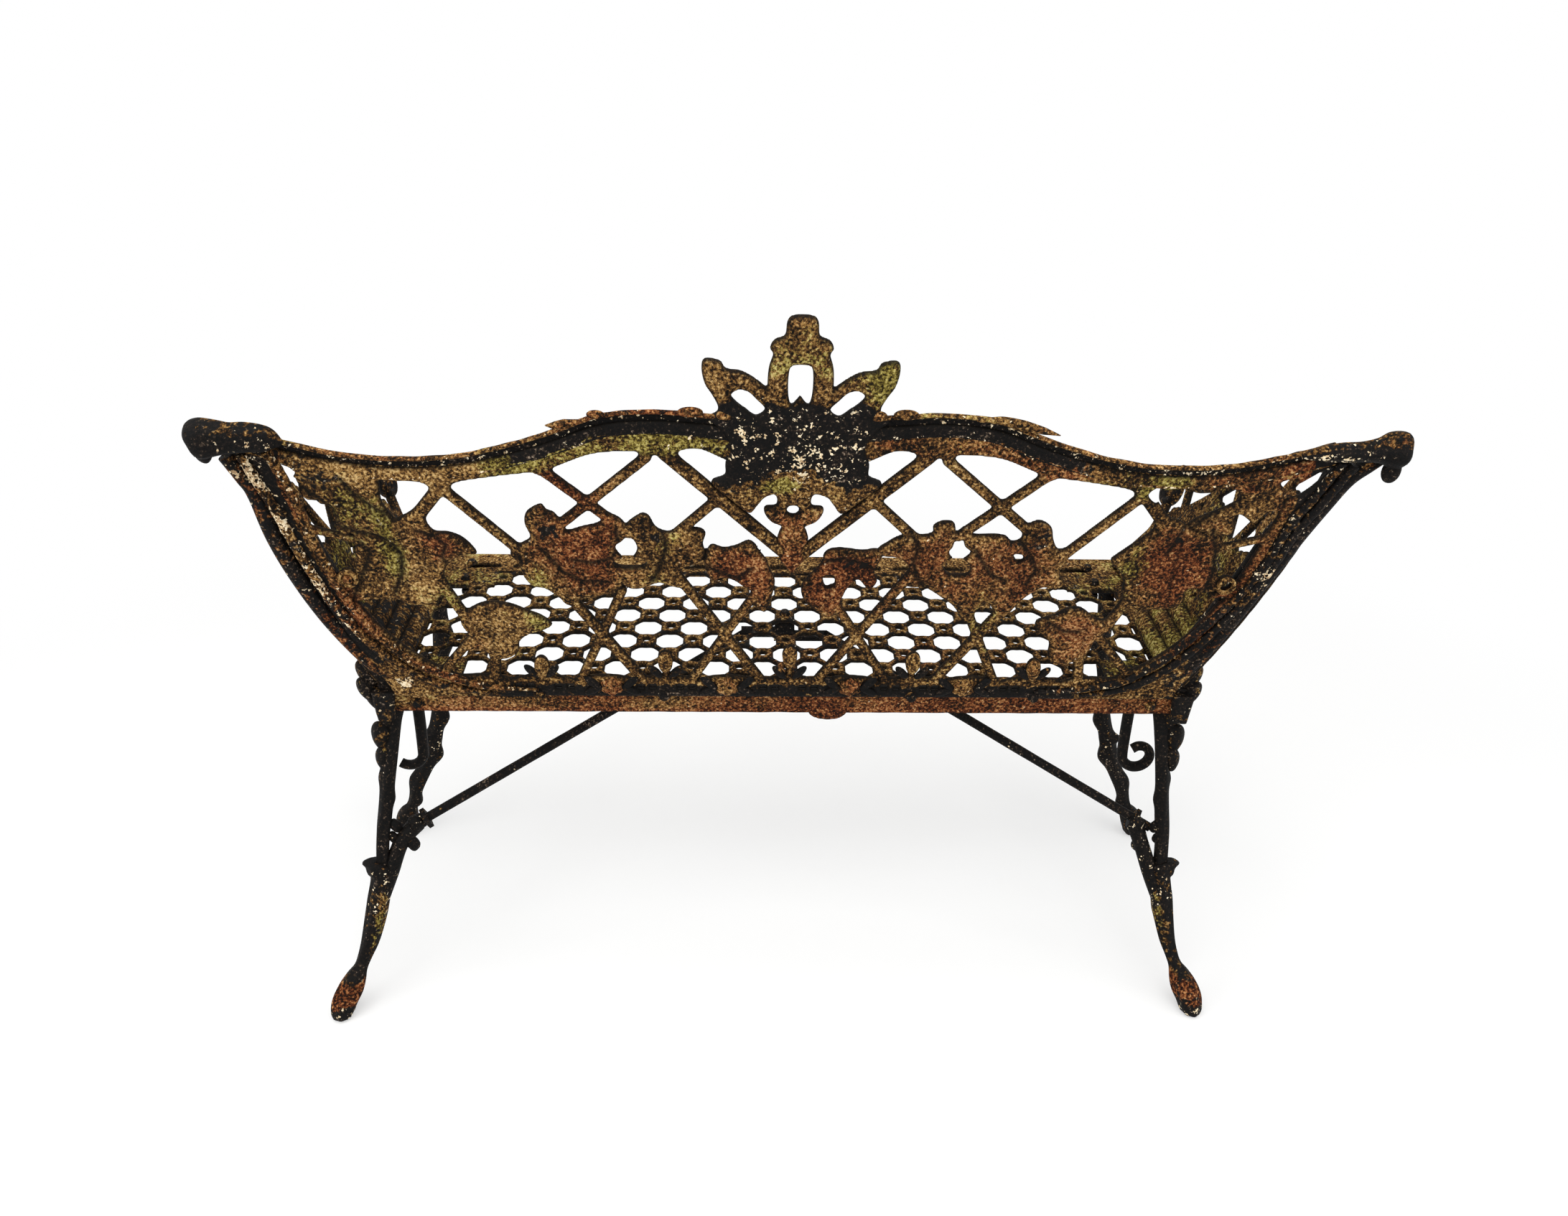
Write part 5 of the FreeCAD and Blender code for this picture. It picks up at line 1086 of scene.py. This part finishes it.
edge_inset, edge_shift, edge_level, edge_size = 28.0, 13.0, 4.0, (9.0, 44.0, 3.5)
outer_half, outer_level = 9.6, -1.0
sill_size, sill_out, sill_level = (44, 8, 2.5), 4.0, -6.0
hand_steps, curl_steps, stile_steps, edge_steps, foot_steps = 110, 90, 120, 140, 60
pleats = [(0.0, 26.0, -152.0), (23.0, 49.0, -146.0), (46.0, 72.0, -136.0), (69.0, 94.0, -124.0)]
pleat_height, pleat_rear, fan_foot_x, fan_slope = 10.0, -34.0, 468.0, math.radians(50)
left_edge = [(586, 318), (575, 292), (568, 272), (562, 217), (549, 163), (529, 107), (503, 56), (482, 28),
             (460, 11)]
right_edge = [(622, 340), (605, 323), (588, 304), (573, 270), (558, 232), (545, 194), (530, 152),
              (514, 108), (497, 66), (478, 32), (458, 12)]


def vine_leaf(y, h, spot):
    """Depth inside a five-lobed leaf, with a toothed edge, about a spot of given reach and turn."""
    angle = np.arctan2(h - spot[1], y - spot[0]) - math.radians(spot[3])
    reach = spot[2] * (0.62 + 0.34 * np.abs(np.cos(2.5 * angle)) ** 0.7 + 0.03 * np.cos(25 * angle))
    return 0.8 * (reach - np.hypot(y - spot[0], h - spot[1]))


def arm_metal(y, h):
    """Depth inside the arm's metal: foot rail, stile, posts, twigs and leaves, melted together."""
    metal = np.minimum(np.minimum(y + arm_front, -y), np.minimum(h - arm_low, arm_sill - h))
    stile = np.minimum(edge_lean * h - y, y - edge_lean * h + arm_stile_wide)
    stile = np.minimum(stile, np.minimum(h - arm_low, arm_stile_top - h))
    metal = melt(metal, stile, side_fillet)
    for a, b, width in arm_bars:
        metal = melt(metal, width / 2 - segment_gap(y, h, a, b), side_fillet)
    for spot in arm_leaves:
        metal = melt(metal, vine_leaf(y, h, spot), small_fillet)
    line = through(arm_rail_line, 60)
    top = np.interp(y, line[::-1, 0], line[::-1, 1])
    cap = np.minimum(hand_half - np.abs(h - top), np.minimum(hand_rear - y, y + hand_front))
    return np.minimum(melt(metal, cap, hand_fillet), edge_lean * h - y - arm_gap)


def arm_swell(y, h):
    """Leaves that swell inside their edges, with a vein of bell section along each lobe."""
    leaf = np.full(np.shape(y), far_out)
    veins = np.zeros(np.shape(y))
    for spot in arm_leaves:
        depth = vine_leaf(y, h, spot)
        leaf = np.maximum(leaf, depth)
        angle = np.arctan2(h - spot[1], y - spot[0]) - math.radians(spot[3])
        rib = np.abs(np.sin(2.5 * angle)) * np.hypot(y - spot[0], h - spot[1])
        veins = np.maximum(veins, np.exp(-(rib / 4.5) ** 2) * fade(depth, 1, 6))
    return 2.2 * fade(leaf, 0, 10) - 1.2 * fade(leaf, 14, 34) + 1.6 * veins


def pleat_depth(y, s):
    """Depth inside the pleated leaf: one capsule for each pleat, side by side, with rounded front
    ends, cut straight at the rear."""
    depth = np.full(np.shape(y), far_out)
    for low, high, front in pleats:
        middle, half = (low + high) / 2, (high - low) / 2
        depth = np.maximum(depth, half - segment_gap(y, s, (front + half, middle), (0, middle)))
    return np.minimum(depth, pleat_rear - y)


def pleat_crown(y, s, height):
    """Each pleat crowned across its width as a half circle of a given height."""
    crown = np.zeros(np.shape(y))
    for low, high, front in pleats:
        middle, half = (low + high) / 2, (high - low) / 2
        gap = segment_gap(y, s, (front + half, middle), (0, middle)) / half
        crown = np.maximum(crown, height * np.sqrt(np.clip(1 - gap ** 2, 0, 1)))
    return crown


for side, label, edge_line, pull in ((1, "left", left_edge, (4, 6)), (-1, "right", right_edge, (3, 14))):
    def on_arm(y, h, n):
        """Arm coordinates: depth, height and distance out of the bowed wall, laid on its arc, which
        the pull draws in, more at the foot than at the top."""
        slope = (h - bow_h) / bow_radius
        drawn = pull[0] + pull[1] * (1 - h / arm_height)
        return on_seat(side * (bow(h) - drawn + n * np.sqrt(1 - slope ** 2)), y, h + n * slope)

    def on_fan(y, s, n):
        """Pleated leaf coordinates: depth, distance up its slope, and out of it towards the arm."""
        x = fan_foot_x + s * math.cos(fan_slope) + n * math.sin(fan_slope)
        return on_seat(side * x, y, 2 + s * math.sin(fan_slope) - n * math.cos(fan_slope))

    screen = pierced_plate(np.arange(-318, 34, arm_step), np.arange(-2, 326, arm_step), arm_metal,
                           lambda y, h, d: -edge_round(d, arm_round) + arm_swell(y, h),
                           lambda y, h, d: edge_round(d, arm_round) - arm_wall - 0.6 * arm_swell(y, h),
                           on_arm, side < 0)
    screen["black"], screen["rust"] = 0.36, 0.25
    screen["lichen"] = 0.2 + 0.3 * blob(screen["x"], screen["t"], (-80, 110), (70, 60))
    screen["pale"] = 0.5 * blob(screen["x"], screen["t"], (-34, 214), (50, 50))
    fan = pierced_plate(np.arange(-156, -30, fan_step), np.arange(-2, 97, fan_step), pleat_depth,
                        lambda y, s, d: fan_front - edge_round(d, fan_round),
                        lambda y, s, d: fan_rear - pleat_crown(y, s, pleat_height), on_fan, side < 0)
    # Painted shade in the grooves between the pleats and a painted highlight on their crowns.
    crown = pleat_crown(fan["x"], fan["t"], 1.0)
    fan["rim"] = 1 - fade(crown, 0.5, 0.85)
    fan["lichen"] = 0.1 if side > 0 else 0.5
    fan["black"] = 0.46 if side > 0 else 0.0
    fan["rust"] = 0.1
    fan["pale"] = (-0.6 if side > 0 else 0.2) + 0.6 * fade(crown, 0.8, 1.0)
    shells = [screen, fan]
    line = through(arm_rail_line, hand_steps)
    hand = 1 + 0.06 * lumps(line[:, 0], line[:, 1], 12)
    rail_run = on_arm(line[:, 0], line[:, 1], -arm_wall / 2)
    hand_rail = sweep(rail_run, upright, round_profile(hand_wide * hand, hand_high * hand))
    shells.append(dict(hand_rail, black=0.5, rust=0.3, cream=0.2))
    turn = np.linspace(0, scroll_turns * np.pi, curl_steps)
    curl = scroll_radius - scroll_tighten * turn / np.pi
    curl_path = on_arm(scroll_centre[0] - scroll_squeeze * curl * np.sin(turn),
                       scroll_centre[1] + curl * np.cos(turn), -arm_wall / 2)
    girth = np.linspace(scroll_thick, scroll_thin, curl_steps)
    wall_way = on_arm(0.0, 150.0, 1.0) - on_arm(0.0, 150.0, 0.0)
    shells.append(dict(sweep(curl_path, wall_way, round_profile(1.15 * girth, girth)), black=0.5, rust=0.3))
    height = np.linspace(5, 312, stile_steps)
    drawn = pull[0] + pull[1] * (1 - height / arm_height)
    slim = fade(height, 225, 270)
    stile_x = side * (bow(height) - edge_inset + edge_shift * slim - drawn)
    stile_run = on_panel(stile_x, height, edge_level)
    squeeze = np.stack([np.ones(stile_steps), 1 - 0.6 * slim], -1)[:, None]
    edge_bar = sweep(stile_run, panel_rear_way, box_profile(*edge_size) * squeeze)
    shells.append(dict(edge_bar, black=0.8, rust=0.3, cream=0.2))
    edge_run = through(edge_line, edge_steps) * (side, 1)
    outer_girth = outer_half * (1 - 0.35 * fade(np.linspace(0, 1, edge_steps), 0.8, 1.0))
    outer = sweep(on_panel(edge_run[:, 0], edge_run[:, 1], outer_level), panel_rear_way,
                  round_profile(outer_girth, outer_girth))
    outer_low = fade(outer["along"], 0.5, 0.8)
    outer["black"] = (0.57 if side > 0 else 0.68) - 0.1 * outer_low
    outer["cream"] = 0.1 + (0.45 if side > 0 else 0.15) * blob(outer["along"], 0, (0.08, 0), (0.07, 1))
    shells.append(dict(outer, rust=0.45, lichen=0.1 if side > 0 else 0.3))
    foot_run = on_seat(side * (seat_half + sill_out), np.linspace(-305, -22, foot_steps), sill_level)
    shells.append(dict(sweep(foot_run, upright, box_profile(*sill_size)), black=0.3, rust=0.4))
    cast_piece(label + "_arm_casting", shells, casting_finish, label + "_arm")

# Legs: knotted twigs cast in iron. Each hangs from a flange under the seat; the rear ones have
# a cup at the knee, a fork for the brace and a curled bracket, and all end in egg-shaped feet.
leg_finish = weathered_iron("old_black_leg", 0.3)
rear_shank = [(470, -29, 409, 10.5), (474, -28, 380, 10), (481, -22, 350, 9.5), (489, -10, 300, 9),
              (497, 5, 240, 8.5), (502, 14, 205, 8.5), (506, 25, 155, 8.5)]
rear_shin = [(507, 21, 171, 12), (508, 22, 168, 15), (508, 24, 162, 16), (507, 26, 154, 13.5),
             (508, 29, 145, 13), (511, 37, 126, 13.5), (515, 47, 104, 12.5), (521, 60, 78, 10.5),
             (527, 71, 61, 8.5), (531, 79, 51, 8.5), (535, 87, 43, 12), (540, 97, 33, 15),
             (546, 107, 22, 15.5), (549, 113, 11, 14.5), (550, 116, 4, 12), (550, 117, 0, 8)]
front_shank = [(470, -265, 438, 10.5), (473, -266, 405, 10), (478, -267, 350, 10), (486, -267, 285, 9),
               (495, -266, 225, 9), (503, -266, 186, 11), (509, -265, 165, 11.5), (522, -265, 130, 11),
               (540, -266, 90, 10), (549, -266, 62, 8.5), (554, -266, 50, 9), (559, -266, 40, 13),
               (565, -266, 27, 15.5), (568, -266, 14, 15), (568, -266, 5, 12.5), (568, -266, 0, 8)]
rear_knots = [(0.18, 0.2, 5.0), (0.33, 0.3, 4.0), (0.55, 0.4, 3.0), (0.62, 2.6, 2.5)]
front_knots = [(0.08, 5.2, 9.0), (0.14, 3.1, 10.0), (0.21, 0.1, 10.0), (0.28, 3.3, 9.0), (0.36, 6.0, 9.0),
               (0.43, 3.0, 8.0), (0.52, 0.4, 6.0), (0.60, 3.0, 5.0)]
shin_knots = [(0.07, 0.3, 7.0), (0.38, 1.5, 2.0)]
knot_share, shank_around = 0.026, 28
fork_steps, cap_steps, plate_steps, ring_steps, bracket_steps = 40, 30, 8, 60, 120
lug, lug_past = np.array([472.0, -4.0, 212.0]), 9
brace_start = on_seat(54.0, hub_y, -32.0) - (0, rear_edge[1], 0)
brace_way = (lug - brace_start) / np.linalg.norm(lug - brace_start)
lug_buds = [((0, 5, 4), (12, 9, 9)), ((24, 10, 4), (11, 7, 7)), ((28, 13, -12), (9, 7, 6)),
            ((6, 9, -24), (12, 9, 8))]
knee_leaves = [((497, -10, 428), (22, 9, 13), 0.4), ((495, -14, 398), (24, 10, 13), 0.2),
               ((487, -19, 368), (22, 10, 12), 0.1), ((495, -14, 338), (22, 9, 12), 0.0),
               ((495, -10, 308), (18, 8, 10), -0.1), ((500, -2, 412), (17, 8, 10), 0.3)]
curl_stem, curl_y, curl_centre, curl_radius = 438.5, -43.0, (459.0, 294.0), 20.5
curl_tighten, bracket_half, bracket_taper = 8.5, 7.2, 0.2
cap_low, cap_high, cap_x, cap_y, cap_size = 372, 412, 488.0, 2.0, (28, 14, 6.0)
flange_inner, flange_outer, flange_under, flange_top = 412, 485, -16, -8
rear_flange, front_flange = (-72, -12), (-301, -241)
plate_x, plate_low, plate_high, plate_level, plate_size = 460.0, -39, -11, 12.0, (8, 46, 2.0)
rear_sway = {1: (9.0, 0.0), -1: (0.0, -21.0)}
fork_sway = {1: (3.0, 0.0), -1: (-16.0, -9.0)}
eye_sway = {1: (0.0, 0.0), -1: (-12.0, 0.0)}
leaf_sway = {1: (9.0, 0.0), -1: (0.0, 0.0)}
front_sway = {1: (13.0, 0.0), -1: (-5.0, 5.0)}
curl_sway = {1: (26.0, 0.0), -1: (4.0, 0.0)}
curl_end = {1: 1.75, -1: 2.9}


def placed(points, side, sway):
    """Leg points in space, mirrored for their side. The sway moves them out, and more towards the
    floor: in the photograph the left legs stand further out than the right ones."""
    points = np.asarray(points, float)
    out = points[..., 0] + sway[0] + sway[1] * (1 - points[..., 2] / 400)
    return np.stack([side * out, points[..., 1] + rear_edge[1], points[..., 2]], -1)


def shank(stations, side, sway, count, flutes, ripple, knots):
    """A leg's shank swept through stations of place and radius, flat where it meets the floor.
    Flutes ripple its radius round the axis; each knot adds a bump at a share of the length."""
    line = through(stations, count)
    share = np.linspace(0, 1, count)[:, None]
    turn = np.linspace(0, 2 * np.pi, shank_around, endpoint=False)[None]
    wave = ripple * np.cos(flutes * turn + 2.2 * np.sin(5 * share)) + 0.03 * np.sin(19 * share + 2 * turn)
    radius = line[:, 3:] * (1 + wave)
    heading = turn if side > 0 else np.pi - turn
    for at, angle, rise in knots:
        bump = rise * np.exp(-((share - at) / knot_share) ** 2)
        radius = radius + bump * np.clip(np.cos(heading - angle), 0, 1) ** 1.5
    rings = np.stack([radius * np.cos(turn), radius * np.sin(turn)], -1)
    shell = sweep(placed(line, side, sway), x_way, rings)
    shell["points"][:, 2] = np.maximum(shell["points"][:, 2], 0)
    return shell


def toe_wear(shell, black, red):
    """Near-black shanks, feet that turn red from 50 mm down, and dark toes with pale crumbs."""
    low = shell["points"][:, 2]
    foot = red * fade(-low, -52, -40)
    toe = red * fade(-low, -26, -10)
    shell["black"] = black - 0.3 * foot + 0.35 * toe
    shell["rust"] = 0.2 + 0.6 * foot
    shell["pale"] = -0.4 * foot
    shell["cream"] = 0.36 * toe
    return shell


for side, label in ((1, "left"), (-1, "right")):
    sway = rear_sway[side]
    upper = shank(rear_shank, side, sway, count=110, flutes=4, ripple=0.07, knots=rear_knots)
    upper = dict(upper, black=0.5, rust=0.15, lichen=0.1)
    shin = shank(rear_shin, side, sway, count=160, flutes=6, ripple=0.06, knots=shin_knots)
    shin = toe_wear(shin, black=0.36, red=1.0)
    low = shin["points"][:, 2]
    inside = np.cos(shin["angle"]) * -side
    shin["lichen"] = 0.5 * blob(inside, low, (0.7, 105), (0.6, 40))
    shin["black"] = shin["black"] - 0.25 * blob(inside, low, (0.7, 110), (0.6, 45))
    shin["cream"] = shin["cream"] + 0.25 * fade(low, 90, 120) * fade(-low, -180, -160)
    stem_foot = placed([(510, 35, 122)], side, sway)
    stem_run = placed([(502, 24, 156), (488, 9, 192)], side, fork_sway[side])
    eye_run = placed([lug, lug - lug_past * brace_way], side, eye_sway[side])
    fork_run = through(np.concatenate([stem_foot, stem_run, eye_run]), fork_steps)
    girth = through([(0, 11), (1, 10.5), (2, 10), (3, 11), (4, 9)], fork_steps)[:, 1]
    fork = sweep(fork_run, (0, 1, 0), round_profile(girth, girth))
    shells = [upper, shin, dict(fork, black=0.45, cream=0.2 if side < 0 else 0.12)]
    for offset, reach in lug_buds:
        bud_spot = placed(lug + offset, side, eye_sway[side])
        bud_way = np.array([0.3 * side, 0.2, 0.93])
        bud = bud_shell(bud_spot, reach, bud_way, (0, 1, 0), ripple=0.1, lobes=4)
        shells.append(dict(bud, black=0.45, rust=0.2, cream=0.22 if side < 0 else 0.12))
    for spot, reach, tilt in knee_leaves:
        way = np.array([tilt * side, 0.1, 1.0])
        way = way / np.linalg.norm(way)
        leaf_spot = placed(spot, side, leaf_sway[side])
        leaf = bud_shell(leaf_spot, reach, way, (0, 1, 0), ripple=0.12, lobes=3)
        shells.append(dict(leaf, black=0.3, lichen=0.35, rust=0.1))
    cap_z = np.linspace(cap_low, cap_high, cap_steps)
    cap_taper = np.linspace(0.72, 1.0, cap_steps)[:, None, None]
    cap_run = np.stack(np.broadcast_arrays(cap_x, cap_y, cap_z), -1)
    cap = sweep(placed(cap_run, side, (0, 0)), x_way, box_profile(*cap_size)[None] * cap_taper)
    shells.append(dict(cap, rust=0.2, black=0.32, cream=0.15))
    ends = sorted((side * flange_inner, side * flange_outer))
    flange = seat_block((ends[0], rear_flange[0], flange_under), (ends[1], rear_flange[1], flange_top))
    shells.append(dict(flange, black=0.6))
    plate_run = on_panel(side * plate_x, np.linspace(plate_low, plate_high, plate_steps), plate_level)
    shells.append(dict(sweep(plate_run, panel_rear_way, box_profile(*plate_size)), black=0.6))
    turn = np.linspace(np.pi, curl_end[side] * np.pi, ring_steps)
    loop = curl_radius - curl_tighten * (turn - np.pi) / (1.9 * np.pi)
    stem = np.array([(curl_stem, curl_y, 412.0), (curl_stem - 1, curl_y, 375.0),
                     (curl_stem - 1, curl_y, 332.0)])
    ring = np.stack(np.broadcast_arrays(curl_centre[0] + loop * np.cos(turn), curl_y,
                                        curl_centre[1] + loop * np.sin(turn)), -1)
    bracket_line = through(np.concatenate([stem, ring[::6]]), bracket_steps)
    girth = bracket_half * (1 - bracket_taper * np.linspace(0, 1, bracket_steps))
    bracket_run = placed(bracket_line, side, curl_sway[side])
    bracket = sweep(bracket_run, (0, 1, 0), round_profile(1.15 * girth, girth))
    shells.append(dict(bracket, black=0.6))
    rear_node = "rear_%s_leg" % label
    cast_piece(rear_node + "_casting", shells, leg_finish, rear_node)
    front = shank(front_shank, side, front_sway[side], count=200, flutes=5, ripple=0.06, knots=front_knots)
    front = toe_wear(front, black=0.36, red=0.2)
    low = front["points"][:, 2]
    front["cream"] = front["cream"] + 0.2 * blob(low, low, (170, 170), (60, 60))
    flange = seat_block((ends[0], front_flange[0], flange_under), (ends[1], front_flange[1], flange_top))
    front_node = "front_%s_leg" % label
    cast_piece(front_node + "_casting", [front, dict(flange, black=0.6)], leg_finish, front_node)

# Braces: a plain round iron rod from each fork to the hub under the seat, hammered flat at its
# upper end. The two flats lap, and one bolt goes through both.
brace_finish = weathered_iron("old_black_rod", 0.5)
rod_radius, rod_past_lug, rod_steps = 6.0, 9.0, 120
pad_far, pad_past, pad_half, pad_thick = 58.0, 14.0, 12.0, 6.0
for side, label, pad_top in ((1, "left", hub_under), (-1, "right", hub_under - pad_thick)):
    rod_start, rod_end = placed(brace_start, side, (0, 0)), placed(lug, side, (0, 0))
    rod_length = np.linalg.norm(rod_end - rod_start)
    rod_share = np.linspace(0, 1 + rod_past_lug / rod_length, rod_steps)
    run = rod_start + rod_share[:, None] * (rod_end - rod_start)
    girth = rod_radius * (1 + 0.035 * lumps(rod_share * rod_length, np.zeros(rod_steps), 30))
    rod = dict(sweep(run, upright, round_profile(girth, girth)), black=0.25, rust=0.3)
    ends = sorted((side * pad_far, -side * pad_past))
    pad = seat_block((ends[0], hub_y - pad_half, pad_top - pad_thick),
                     (ends[1], hub_y + pad_half, pad_top), 2.0)
    rod_shells = [rod, dict(pad, black=0.3)]
    cast_piece(label + "_brace_rod", rod_shells, brace_finish, label + "_brace")

# Bolts and nuts: rusted iron bolts, screws and square nuts that hold the castings together. They
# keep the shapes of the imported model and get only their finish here.
bolt_finish = weathered_iron("rusted_bolt", 0.55)
for node in ("back_screws", "arm_back_bolts", "arm_back_nuts", "arm_seat_bolts", "arm_seat_nuts",
             "apron_bolts", "apron_nuts", "leg_bolts", "leg_nuts", "brace_bolts", "brace_nuts", "lug_nuts"):
    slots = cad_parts[node].data.materials
    slots.clear()
    slots.append(bolt_finish)

# Last, the view layer is updated.
bpy.context.view_layer.update()
